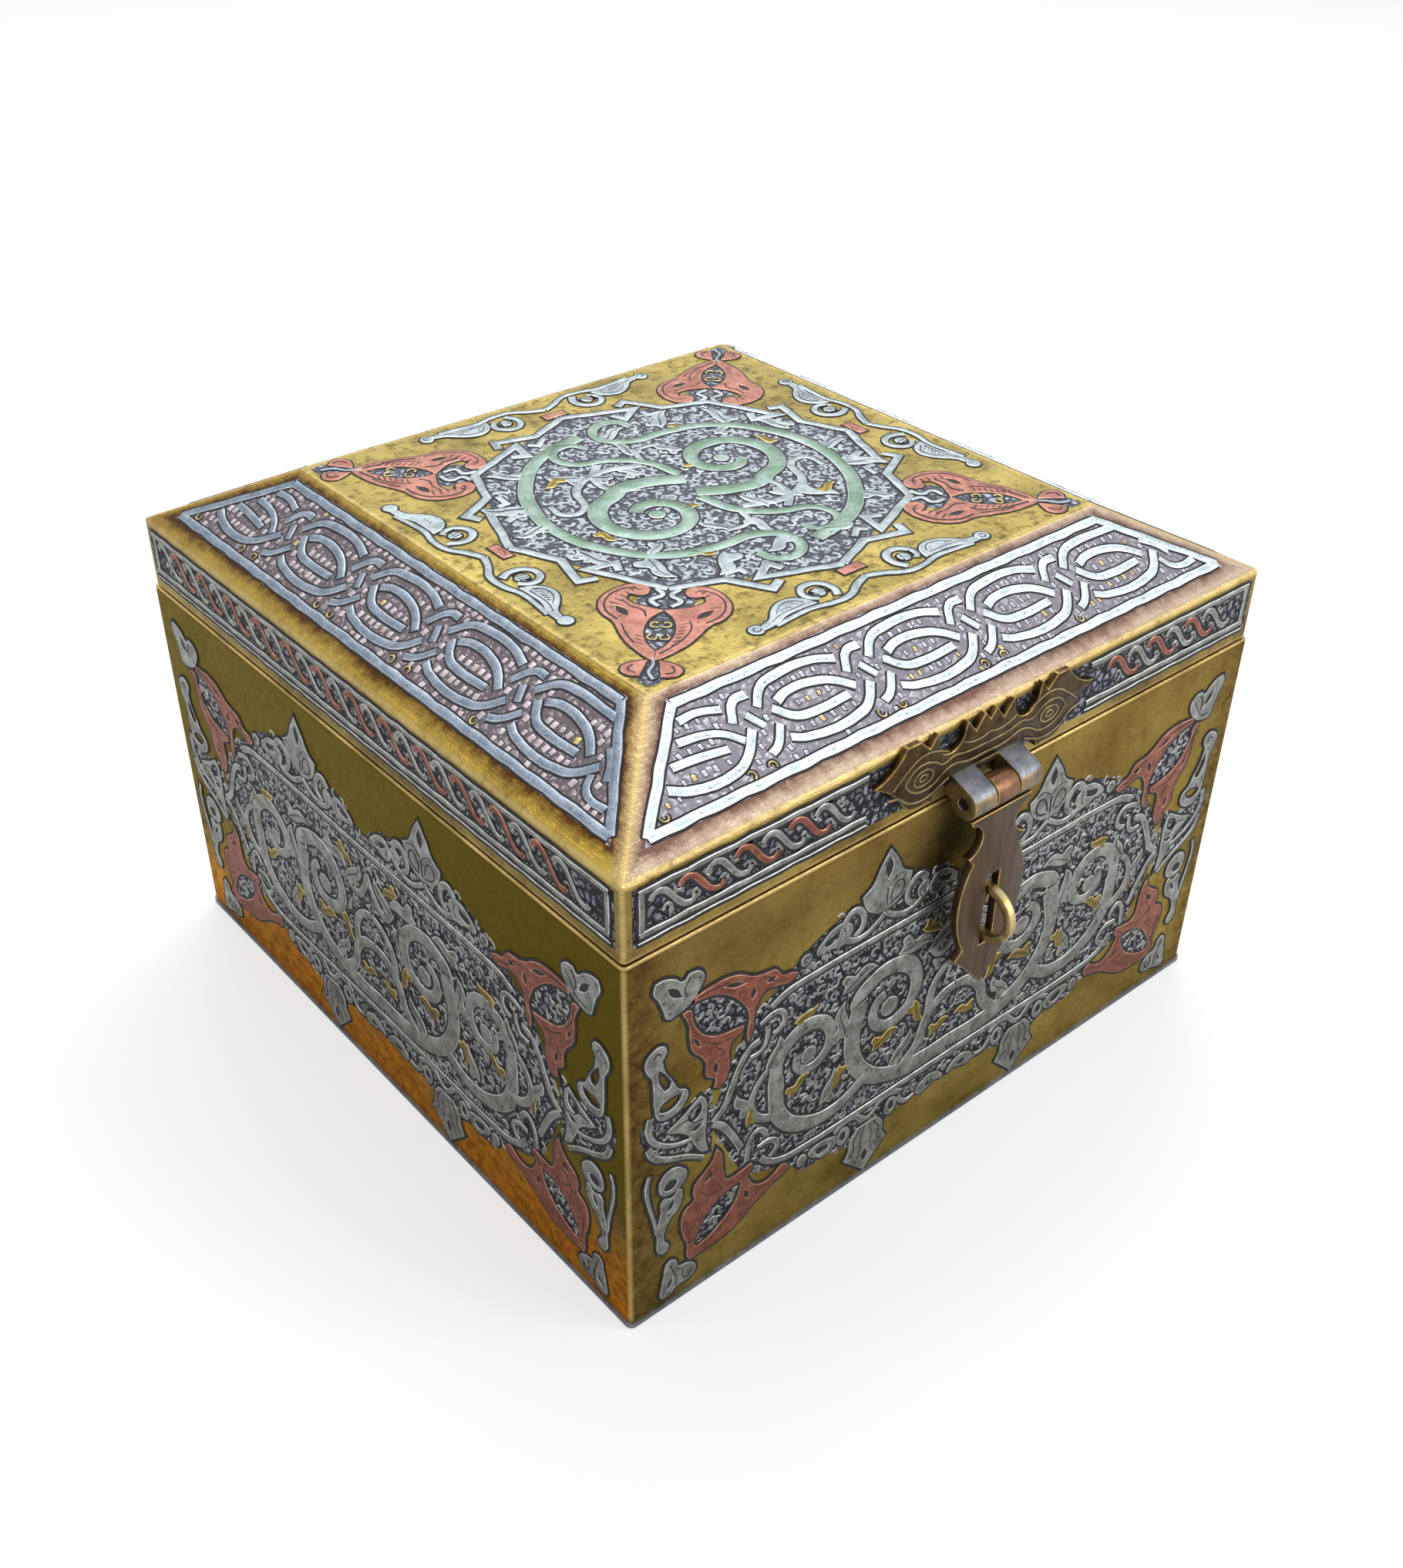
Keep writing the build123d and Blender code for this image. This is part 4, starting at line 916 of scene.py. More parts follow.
def draw_lower_copper(d):
    """Copper leaf that clasps a lower corner: a folded heart whose two lobes meet at the tip."""
    d.plate(
        "copper",
        [
            (19.6, 33.6, 1), (18.6, 31), (16.6, 29.2), (14.7, 27.8), (14.2, 25.8), (14.4, 23.9),
            (12.4, 22.8), (11.5, 20.2), (11.9, 16.4), (12.9, 13.4), (12.8, 10.6), (13.4, 8.8, 1),
            (17.4, 8.8), (22, 9.1), (26, 10.6), (29, 12.6), (31.4, 13.9), (34.2, 15),
            (37, 15.9), (37.2, 17.4), (35.8, 18.4), (34, 17.4), (31.6, 16.7), (29.4, 17.6),
            (28, 19.4), (27.4, 21.4), (28.4, 22.8), (28, 24.2, 1), (25.6, 23.8), (22.2, 24),
            (21.4, 26.2), (21.2, 29), (20.8, 31.6),
        ],
        [
            (25.6, 21, 1), (24.8, 17.8), (22.8, 15), (20.4, 13.2), (17.6, 11.8), (15.2, 11.2, 1),
            (14.6, 12.6), (15.6, 15.2), (17.4, 18), (19.6, 19.8), (22.6, 20.8),
        ],
        almond(17.8, 27.6, 2.6, 1, 55), almond(27, 16.6, 2.6, 1, 110),
    )
    d.vein([(25.6, 21.6), (26.6, 22.4), (28, 23.4)], 0.4, 0.2)
    d.vein([(16.2, 24.6), (18.2, 22.6), (21.4, 22.4), (25, 22.8)], 0.35, 0.15)
    d.vein([(16, 22.2), (17.6, 25.4), (19.2, 29.8)], 0.3, 0.15)
    d.vein([(29.4, 15.2), (32, 15.4), (35.4, 17.2)], 0.3, 0.15)
    d.vein([(15, 9.7), (18.6, 10.1), (24, 12.2), (27.4, 14.6)], 0.25)
    d.vein([(12.6, 19.8), (13.2, 16), (13.6, 13)], 0.25)
    for k in range(4):
        d.vein([(18.6 + 1.7 * k, 10.5 + 0.9 * k), (19.8 + 1.7 * k, 12 + 1.1 * k)], 0.22)
        d.vein([(13.4 + 0.9 * k, 17.6 + 1.3 * k), (14.9 + 0.8 * k, 17.2 + 1 * k)], 0.22)


def draw_corner_buds(d):
    """Silver flower buds in the corners of a wall."""
    d.plate(
        "silver",
        [
            (5.7, 77.2), (6.2, 79, 1), (8, 79), (10.2, 78), (12, 76.6), (13, 77.5, 1),
            (15, 77.2), (16.3, 75.4), (15.4, 73), (14, 71.4), (11.2, 70.2), (8.6, 70.2), (7.7, 72.4),
            (6.8, 75),
        ],
        almond(10.1, 75, 4.4, 1.4, -48),
    )
    d.vein([(9.4, 71.2), (12, 71.6), (13.4, 73.4), (14.8, 75.8)], 0.35)
    d.vein([(12.6, 73), (12.2, 74.8), (13.4, 76.6)], 0.35)
    d.plate(
        "silver",
        [
            (9, 12.2, 1), (10.4, 11.2), (11, 9.2), (13, 8.6), (14.8, 7), (14.9, 4.9), (13.4, 3.9),
            (11, 3.8), (8, 2.7), (6.8, 3.1), (6.9, 6), (7.5, 9.2), (8, 11.4),
        ],
        almond(8.9, 5.8, 2.8, 0.8, 70),
    )
    d.vein([(12.2, 7.8), (11.8, 6.2), (13, 4.9), (13.8, 6.2)], 0.35)
    d.vein([(9, 10.9), (9.6, 8.8), (10.4, 6.4), (10.2, 4.2)], 0.3)


def draw_side_spray(d):
    """Silver spray of leaves beside the frame."""
    d.plate(
        "silver",
        [
            (5.2, 64.9), (7.6, 65.2), (8.5, 63.4), (7.6, 61.8, 1), (8.2, 59), (9.8, 56), (11, 53.6),
            (12.8, 52.2), (13, 50.4), (11.5, 48.6), (9, 47.9), (6.6, 48.9), (5.7, 52), (5.5, 56),
            (5.2, 59), (4.2, 61), (3.9, 63.2),
        ],
        [(6.7, 60.2, 1), (8, 58.6), (9.2, 55.2), (8, 54.8, 1), (6.8, 57.4)],
        [(6.8, 51.2), (9.4, 52.4), (11.8, 52.2, 1), (11, 50.6), (8.4, 49.8)],
    )
    d.vein([(5.6, 63.4), (6.6, 64), (7.2, 63.2)], 0.4)
    d.strap("silver", [(5, 50.4), (4.5, 48), (5.2, 45), (7.6, 42.2), (11.4, 40.2), (14, 39.6)], 1.5, 0.9)
    d.strap("silver", [(4.4, 43.6), (5.4, 40.8), (8.6, 38.2), (12.6, 36.2), (16.6, 33.4)], 1.5, 1)
    d.plate(
        "silver",
        [
            (8.2, 45, 1), (11.6, 46.4), (15.8, 48.9, 1), (17, 47.2), (17.2, 42.6), (17, 38),
            (17.7, 34.4, 1), (16.2, 35), (14.4, 38), (12.9, 41.2), (11.2, 42.8), (9.6, 43.8),
        ],
        [(13.2, 46), (15.8, 47.4, 1), (15.9, 45), (13.6, 44)],
        almond(15, 41.8, 2.6, 1.1, 10),
    )
    d.vein([(10, 44.6), (12.8, 45), (14.4, 43.4), (16.4, 43)], 0.35)
    d.plate(
        "silver",
        [(6.6, 32), (7.2, 34.4), (9.2, 35.4), (11.6, 34.4), (12.9, 32), (12, 30), (9.2, 29.2), (7.2, 30.2)],
        [(7.8, 31.4), (9.4, 32.6), (10.6, 31.4), (9.2, 30.4)],
    )
    d.plate(
        "silver",
        [
            (7.4, 28.9), (9.6, 28.2), (11.2, 29.2), (11.9, 27.2), (11, 24.4), (9.2, 23), (8, 21),
            (7.7, 18.4), (8.8, 16.2), (7.9, 15), (6.2, 16), (6, 19), (6.1, 22.6), (6.9, 25.6),
        ],
        almond(9.2, 26.2, 2.8, 1, 60),
    )
    d.strap("silver", [(4.6, 36.8), (3.9, 34), (4.5, 29), (5.5, 24.6), (6, 21)], 1, 0.7)


def draw_fringe(d):
    """Half of the leafy fringe over the frame's upper line, with one lotus."""
    d.plate("silver", ring(39.2, 66, 1.35))
    d.vein(ring(39.2, 66, 0.5, 0.5, 5), 0.3)
    for x, y, size, flip in ((42, 65, 1, 1), (76.6, 64.8, 0.92, -1)):
        keep = d.within(x, y, size, flip)
        d.plate(
            "silver",
            [(-0.4, 0.8), (1.4, 3.4), (4, 4.7), (6.4, 4.5), (7.7, 2.6), (7.2, 0.2), (5, -0.4), (2.4, 0.4)],
            [(1.4, 1.9), (3.6, 3), (5.6, 3.2), (4.2, 1.7)],
        )
        d.vein([(5.9, 0.6), (6.4, 2), (5.8, 3.6)], 0.3)
        d.place = keep
    for flip in (-1, 1):
        keep = d.within(LOTUS_MIDDLE, 0, flip=flip)
        d.strap("silver", [(10.2, 69.4), (8.2, 71), (5.9, 69.6), (5.6, 66.6), (7.4, 65)], 1.7, 1.3)
        d.strap("silver", [(8.6, 68), (9.9, 66.4), (8.4, 64.6), (5, 64), (2.4, 65), (0, 66.6)], 1.5, 1.2)
        d.plate("silver", ring(9.7, 67.2, 1.7, 1.9), ring(9.7, 67, 0.8, 0.9, 6))
        d.vein([(0.9, 69.2), (1.4, 71.4), (3, 72.6), (4.2, 71), (3.2, 69.2), (1.2, 68.6)], 0.4)
        d.vein([(0.4, 72.6), (2.4, 74), (4.4, 73.6)], 0.3, 0.15)
        d.place = keep
    d.plate(
        "silver",
        [
            (52, 73, 1), (54.4, 74.6), (56, 77.6), (58.2, 80.8, 1), (60.4, 77.6), (62, 74.6), (64.4, 73, 1),
            (63.6, 70.4), (61.8, 68.3), (58.2, 67.2), (54.6, 68.3), (52.8, 70.4),
        ],
        almond(LOTUS_MIDDLE, 76.6, 4.6, 1.8, 90),
    )
    d.vein([(58.2, 68.4), (58.2, 72.2)], 0.4)


def draw_lower_fringe(d):
    """Half of the fringe under the frame's lower line, with a hanging lotus."""
    d.plate("silver", ring(40.9, 15.7, 1.3, 1.6))
    d.plate(
        "silver",
        [
            (42.6, 16.6), (44.6, 17.4), (47.6, 17.2), (50, 15.8), (49.4, 13.8), (46.8, 12.8),
            (44.6, 14), (43, 15.2),
        ],
        [(44.6, 15.8), (46.4, 16), (47.8, 15), (46.4, 14.2)],
    )
    d.vein([(48.4, 16.2), (48.9, 14.8), (47.8, 13.6)], 0.3)
    for flip in (-1, 1):
        keep = d.within(LOTUS_MIDDLE, 0, flip=flip)
        d.strap("silver", [(9, 17.2), (6, 18.4), (3.2, 18), (1.4, 16.2), (0, 15.6)], 1.3)
        d.plate("silver", ring(6.4, 14.9, 1.7, 2.3), ring(6.5, 15, 0.7, 1.2, 6))
        d.strap("silver", [(8.4, 16.4), (9.4, 14.4), (11, 13.4), (12.9, 13.8)], 1.4, 1)
        d.vein([(1.8, 13.9), (3.4, 11), (3.2, 8.6), (4.4, 7.2)], 0.38)
        d.vein([(0.7, 13.9), (1.4, 10.4), (1.3, 7.8), (2.6, 4.8)], 0.34, 0.2)
        d.place = keep
    d.plate(
        "silver",
        [
            (55.6, 14.5, 1), (60.8, 14.5, 1), (62.6, 12.2), (62.9, 9.2), (64, 7.2, 1), (61.4, 4.6),
            (58.2, 1.3, 1), (55, 4.6), (52.4, 7.2, 1), (53.5, 9.2), (53.8, 12.2),
        ],
        almond(LOTUS_MIDDLE, 5.6, 3.4, 1.6, 90),
    )
    d.plate(
        "silver",
        [
            (71.8, 14), (73.4, 16), (76, 16.6), (78.6, 15.2), (79.4, 13.6), (77.4, 13.9), (74.8, 13),
            (72.8, 12.8),
        ],
        [(74, 14.4), (75.8, 15.2), (76.8, 14.6), (75.2, 13.9)],
    )


def draw_arabesque(d):
    """Half of the scrolls inside the frame: three volutes that branch from one stem, with leaves."""
    d.strap("silver", [(80, 23.2), (72, 22.8), (63, 24.4), (55.6, 29.6), (52.2, 38), (53.6, 47.4)], 3.8, 4.3)
    d.strap("silver", [(53.6, 47.2)] + volute(61.4, 43.8, 9.6, 3, 150, -395, 13), 4.2, 2)
    d.plate("silver", ring(61.6, 42.6, 2.2))
    d.strap("silver", [(56.6, 27.9), (49, 24.4), (40.6, 25.8), (34.4, 32), (33.2, 41)], 3, 3.8)
    d.strap("silver", [(33.2, 40.6)] + volute(41, 43.6, 8, 2.6, 190, -390, 13), 3.6, 1.8)
    d.plate("silver", ring(41.1, 42.8, 1.9))
    d.strap("silver", [(34.6, 32.4), (30.4, 33.8), (27.6, 37.6), (28.6, 42.6), (31, 45)], 2.2, 1.3)
    for leaf in (
        (27.9, 37.8, 128, 7, 1), (30.6, 44.6, 62, 7.8, -1), (48.6, 52.6, 18, 9, 1),
        (50.6, 41, 100, 9.6, 1), (44.6, 27.6, 62, 8.4, -1), (62.6, 54.4, -6, 9.6, 1),
        (62.8, 26.4, 46, 8.6, -1), (71, 50.4, 40, 8.8, -1),
    ):
        half_leaf(d, "silver", *leaf)
    d.strap("silver", [(66.8, 24), (70.6, 28), (72.6, 33.6), (76.4, 36.8), (80, 37.6)], 3, 2.2)
    d.strap("silver", [(73, 34.4), (73.4, 40), (76.2, 44), (80, 45.6)], 2.4, 1.6)
    d.strap("silver", [(71.6, 52), (75, 48.6), (78, 51.2), (80, 55.6)], 2.2, 1.6)
    for leaf in (
        (36.4, 34.6, 38, 6.4, 1), (26.6, 33.8, 84, 5.2, -1), (49.4, 35.4, 250, 6.4, 1),
        (57.6, 33.4, 20, 7.4, 1), (68.6, 40.2, 290, 7, -1), (73.6, 28, 20, 6, 1), (37, 52.6, 10, 6, -1),
        (68.6, 57.2, 335, 6.4, 1),
    ):
        half_leaf(d, "gold", *leaf)


# Where the punched ground of a wall lies: round the frame, in the corner leaves and in the side spray
GROUND_FIELDS = [
    [
        (18, 40.3, 1), (23, 52.4), (27, 59), (33.6, 63.6), (37.6, 66.6, 1), (39.2, 67.8), (43, 69.6),
        (48, 71), (52, 71.4), (58.2, 74), (64.4, 71.4), (69, 70.6), (73, 70), (77.6, 66.4), (80, 65.6, 1),
        (80, 15, 1), (76, 14.2), (71, 12.8), (66, 12.6), (58.2, 8), (50.4, 12.4), (46, 12.4),
        (40.6, 13.4), (37.4, 17.4), (32, 19.4), (26.6, 22.6), (22.6, 30.2),
    ],
    [(13.6, 71, 1), (20, 70), (26, 63), (26, 59.2, 1), (19, 60), (14.2, 65)],
    [(14.6, 10.8, 1), (22, 13.6), (26, 19), (26.2, 21.6, 1), (19, 20.6), (14.6, 15.4)],
    [(4, 50), (8, 48.4), (13, 48), (18.4, 49.6, 1), (18.6, 33, 1), (12, 36), (5, 41)],
]


def wall_drawing():
    """The whole ornament of one wall."""
    drawing = Drawing()
    for flip in (1, -1):
        drawing.at(-HALF * flip, 0, flip=flip)
        for part in (
            draw_wall_frame, draw_upper_copper, draw_lower_copper, draw_corner_buds, draw_side_spray,
            draw_fringe, draw_lower_fringe, draw_arabesque,
        ):
            part(drawing)
        for field in GROUND_FIELDS:
            drawing.plate("ground", field)
    drawing.at()
    return drawing


# Curls of the punched ground: how far apart, how large and how wide they are
GROUND_SEED = 7
WALL_CURLS = (2.35, 1.2, 0.72)
TOP_CURLS = (2.4, 1.25, 0.75)

# How much finer the black lines are on the lid than on the walls
SLOPE_LINES = 0.6
TOP_LINES = 0.65

# Slope ornament. Points count from the slope's left edge at the eave. Teeth stand in rows: their pitch,
# the rows' distance, a tooth's width and length, its distance from a strap, and the share that is gilt.
SMALL_TEETH = (2.3, 2.15, 0.95, 1.35, 0.5, 0.2)
LARGE_LUMPS = (1.95, 2.0, 1.5, 1.7, 0.45, 0.04)
KNOT_PITCH = 25.5


def fill_with_teeth(d, region, pitch, row, wide, long, margin, gilded):
    """Rows of small teeth all over a region, left out where a strap lies; a share of them is gilt."""
    random = Random(GROUND_SEED)
    low_x, low_y, high_x, high_y = region.box
    for level in range(int((high_y - low_y) / row) + 1):
        for column in range(int((high_x - low_x) / pitch) + 1):
            x = low_x + column * pitch + random.uniform(-0.25, 0.25)
            y = low_y + level * row + random.uniform(-0.12, 0.12)
            size = random.uniform(0.8, 1.15)
            lean = random.uniform(-0.25, 0.25)
            chosen = d.gilt if random.random() < gilded else d.beads
            if region(x, y) and clear_of_straps(d, x, y, margin):
                chosen.append((x, y, (sin(lean), cos(lean)), wide * size, long * size))


def clear_of_straps(d, x, y, margin):
    """Whether a point on the face is further than a margin from every strap drawn so far."""
    for straps in d.straps.values():
        for points, width, *_ in straps:
            reach = margin + width / 2
            for (ax, ay, *_), (bx, by, *_) in zip(points, points[1:]):
                run = (bx - ax) ** 2 + (by - ay) ** 2
                share = min(max(((x - ax) * (bx - ax) + (y - ay) * (by - ay)) / run, 0), 1)
                if hypot(x - ax - share * (bx - ax), y - ay - share * (by - ay)) < reach:
                    return False
    return True


def slope_drawing(metal, teeth):
    """Interlaced band of one lid slope, with rows of small teeth between its straps."""
    d = Drawing()
    d.at(-HALF, 0)
    wide, narrow = 1.7, 1.5
    border = [(9, 5.2), (151, 5.2), (132.6, 24), (27.4, 24), (9, 5.2)]
    for start, end in zip(border, border[1:]):
        d.strap(metal, [start, end], 1.8, smooth=False)
    d.strap(metal, [(26.2, 20.7), (30, 20.9), (34.4, 19.7)], narrow)
    d.strap(metal, [(23.6, 17.4), (29.2, 16.7), (32.2, 15.4), (34.6, 13)], narrow)
    d.strap(metal, [(20, 14), (25, 13.7), (31, 12.9)], narrow)
    d.strap(metal, [(17, 10.9), (20.2, 9.3), (29.4, 8.7), (33, 10.2), (37, 14.2)], wide)
    for k in range(4):
        d.at(-HALF + KNOT_PITCH * k, 0)
        d.strap(metal, [(34.6, 16.5), (37.4, 20.2), (40.2, 20.4)], wide)
        d.strap(metal, [(37.8, 17), (39.6, 13.9)], narrow)
        d.strap(metal, [(37.2, 9), (39.2, 9.8), (42.2, 13.1)], narrow)
        upper_end = (58.2, 21.2) if k == 3 else (59.8, 19.8)
        d.strap(metal, [(40.5, 17.4), (43.6, 20.6), (47, 21.4), (55.4, 21.3), upper_end], wide)
        d.strap(metal, [(42.3, 10.3), (45, 9.1), (57.6, 9), (60, 10.1), (62.8, 13.2)], wide)
        d.strap(metal, [(44.4, 16.9), (47.2, 17.9), (54.2, 17.3), (57.2, 15.9), (59.8, 13.7)], wide)
        d.strap(metal, [(42.8, 16.2), (45.8, 13.3), (49.6, 12.6), (57.4, 12.8)], wide)
    d.at(-HALF, 0)
    d.strap(metal, [(138.3, 16.6), (141, 14.3), (142.6, 11.8)], narrow)
    d.strap(metal, [(139.3, 11.3), (140.6, 9), (143, 8), (146.6, 8.2)], narrow)
    for x in (13.8, 31.5, 36, 60.8, 65.5, 86, 91, 112):
        d.strap("gold", volute(x, 7.2, 0.9, 0.6, 60 + x * 7, 230, 5), 0.5, 0.35)
    inside = Region([(-69, 6.6), (69, 6.6), (53.6, 23), (-53.6, 23)])
    fill_with_teeth(d, inside, *teeth)
    d.plate("ground", [(7.6, 4, 1), (152.4, 4, 1), (133, 25.3, 1), (27, 25.3, 1)])
    return d


# Rim ornament. Points count from the rim's left edge at the seam. A fitting covers a span about its
# middle, which is measured from the middle of the rim.
RIM_LENGTH = 2 * LID_HALF
RIM_LOW = 4.2
RIM_HIGH = 12.4
RIM_END = 3.6
RIM_PITCH = 5.7
RIM_SCROLL = (-0.5, 8.5)
ROPE_OFF = 0.95
COVERED = {"front": ((0, 29),), "back": ((-46, 13.4), (46, 13.4))}


def rim_drawing(gaps):
    """Border and S-shaped scrolls of one rim band; gaps are the spans that a fitting covers."""
    d = Drawing()
    d.at(-LID_HALF, 0)
    right = RIM_LENGTH - RIM_END
    spans = []
    start = RIM_END
    for gap_start, gap_end in sorted(gaps):
        spans.append((start, gap_start))
        start = gap_end
    spans.append((start, right))
    for a, b in spans:
        for y in (RIM_LOW, RIM_HIGH):
            d.strap("silver", [(a - 0.6, y), (b + 0.6, y)], 1.2, smooth=False)
        for y in (RIM_LOW - ROPE_OFF, RIM_LOW + ROPE_OFF, RIM_HIGH - ROPE_OFF):
            d.rope([(a, y), (b, y)])
        d.strap("silver", [(a - 0.8, RIM_LOW - 1.5), (b + 0.8, RIM_LOW - 1.5)], 0.5, smooth=False)
    for x in (RIM_END, right):
        d.strap("silver", [(x, RIM_LOW), (x, RIM_HIGH)], 1.2, smooth=False)
    lobe = [(0.1, 10), (0.9, 11), (2.6, 10.9), (4.2, 9.3), (5.8, 7.2), (7.2, 6.1), (8.6, 6.1), (9.2, 7)]
    for k in range(int((right - RIM_END - RIM_SCROLL[1]) / RIM_PITCH)):
        x = RIM_END + 1.6 + k * RIM_PITCH
        if any(a < x + RIM_SCROLL[1] and x + RIM_SCROLL[0] < b for a, b in gaps):
            continue
        metal = "copper" if k % 2 else "silver"
        d.strap(metal, [(x + px, py) for px, py in lobe], 1.3, 1.15)
        d.strap("low", volute(x + 5.9, 10, 1, 0.6, 120, 260, 5), 0.7)
        d.strap("low", volute(x + 3.4, 7, 1, 0.6, -60, 260, 5), 0.7)
    far = RIM_LENGTH - 1.9
    d.plate("ground", [(1.9, 2.1, 1), (far, 2.1, 1), (far, 13.3, 1), (1.9, 13.3, 1)])
    return d


# Top ornament, about the middle of the top plate. The medallion has eight sides.
MEDALLION_RADIUS = 43
HALF_ANGLE = 22.5
SIDE_MIDDLE = MEDALLION_RADIUS * cos(radians(HALF_ANGLE))
CURLS_RADIUS = 40.5

# Black ground inside a corner palmette, from its outer tip inward
PALMETTE_FIELDS = (
    [(2.2, 0, 1), (4.4, 2.1), (7.4, 2), (10.4, 0, 1), (7.4, -2), (4.4, -2.1)],
    [
        (13.2, 0, 1), (16.4, 2.2), (20.6, 3), (24.8, 2.2), (27.6, 0, 1), (24.8, -2.2), (20.6, -3),
        (16.4, -2.2),
    ],
    [(27.8, 0, 1), (30, 5), (33.4, 4), (37, 0, 1), (33.4, -4), (30, -5)],
)


def draw_knot(d):
    """Two V-shaped hooks that catch each other where a side of the medallion is knotted."""
    half_side = MEDALLION_RADIUS * sin(radians(HALF_ANGLE))
    d.strap("top", [(-half_side, 0), (-0.2, 0.6), (-3.4, -4.2), (-5.6, -1.6)], 1.8, smooth=False)
    d.strap("top", [(half_side, 0), (5.8, -0.4), (-1.2, 5.2), (-3.4, 2.6)], 1.8, smooth=False)
    d.strap("top", [(5.4, -2.4), (2, -3.4), (1.2, -1.4)], 1.4, smooth=False)


def draw_side_scroll(d):
    """Half of a silver spray between the medallion and an edge; x runs along the edge."""
    d.strap("top", [(0, 6.6), (3.4, 5.2), (6.8, 3.2), (11, 2.9), (15.6, 3.9), (20, 3.7), (24.6, 3.1)], 1.5, 1)
    hook = [(8.8, 4.4), (7.6, 7), (8.5, 9.8), (10.9, 10.8), (13.2, 9.4), (13.5, 7.2), (12.2, 5.6)]
    d.strap("top", hook, 1.6, 1.3)
    d.plate(
        "top",
        [
            (13.6, 4.6, 1), (14.6, 7.4), (17, 9.1), (19.6, 9), (22, 7.6), (24.4, 5.4), (27, 4.4),
            (27, 3.2, 1), (24, 3.4), (20.6, 4.6), (17, 4.8),
        ],
    )
    d.vein([(15.4, 6.2), (17, 7.9), (19.6, 7.8), (22, 6)], 0.35, 0.2)
    d.vein([(15.6, 5.6), (18.6, 5.6), (21.6, 5.4), (24.4, 4.4)], 0.3, 0.2)
    for k in range(5):
        d.vein([(9 + 0.85 * k, 6.4), (9.5 + 0.85 * k, 8.6)], 0.28)
        d.vein([(16.6 + 0.9 * k, 6.1), (17.3 + 0.9 * k, 7.3 - 0.2 * k)], 0.24)
    d.plate("top", ring(10.7, 7.4, 1.3, 1.4, 6))
    d.plate("top", ring(28.2, 4.2, 1.5))
    d.vein(volute(28.2, 4.2, 0.9, 0.4, 200, 280, 5), 0.3)


def draw_palmette(d):
    """Half of a corner palmette; x runs along the diagonal from the corner inward."""
    d.plate(
        "copper",
        [
            (10.2, 0, 1), (11.2, 1.3), (13.4, 3.3), (16.4, 5.5), (19.6, 7), (23, 8.5), (25.7, 10.8),
            (29.3, 11.7), (33.1, 10.5), (35.7, 8.1), (36.6, 5.6), (35.6, 3.5), (33.6, 3.2), (32.4, 4.6),
            (33, 6.4, 1), (31.4, 6.9), (29.6, 5.6), (28.4, 3), (27.6, 0.2, 1), (27.4, 0, 1), (24.6, 1.9),
            (20.4, 2.7), (16.2, 1.8), (13.4, 0, 1),
        ],
        almond(26.6, 7.2, 4.2, 1.5, 38),
    )
    d.vein([(12.4, 0.8), (14.6, 2.4), (17.6, 4.2), (21.6, 5.3), (24, 4.8)], 0.5, 0.3)
    d.vein([(23.4, 7.6), (26, 9.8), (30, 10.5), (33.6, 8.8), (34.8, 6.4), (34.2, 4.8)], 0.5, 0.35)
    d.vein([(15.6, 3.8), (18.6, 5.5), (22, 6.7)], 0.4)
    d.vein([(24.8, 2.8), (27, 3.6), (28.2, 5.8), (30.4, 7.6)], 0.45, 0.3)
    for k in range(7):
        d.vein([(15.4 + 1.2 * k, 2.5 + 0.16 * k), (16 + 1.2 * k, 3.6 + 0.18 * k)], 0.34)
    for k in range(5):
        d.vein([(28.6 + 1.3 * k, 8 - 0.5 * k), (29.4 + 1.3 * k, 9.8 - 0.8 * k)], 0.34)
    d.strap("top", [(28.8, 1), (31, 2.6), (33, 0.8), (35.2, 2)], 1.1)
    d.strap("gold", volute(18.2, 0.9, 1.1, 0.6, 30, 260, 5), 0.5)
    d.strap("gold", volute(22.6, 0.9, 1.1, 0.6, 210, -260, 5), 0.5)
    lobe = [(5.2, 1.7, 1), (5.4, 3.6), (6.9, 5.1), (8.8, 4.7), (10, 2.8), (10.6, 0.9, 1), (8.2, 1.3)]
    d.plate("copper", lobe)
    d.vein([(6.1, 2.4), (7, 3.8), (8.8, 3.2)], 0.4)


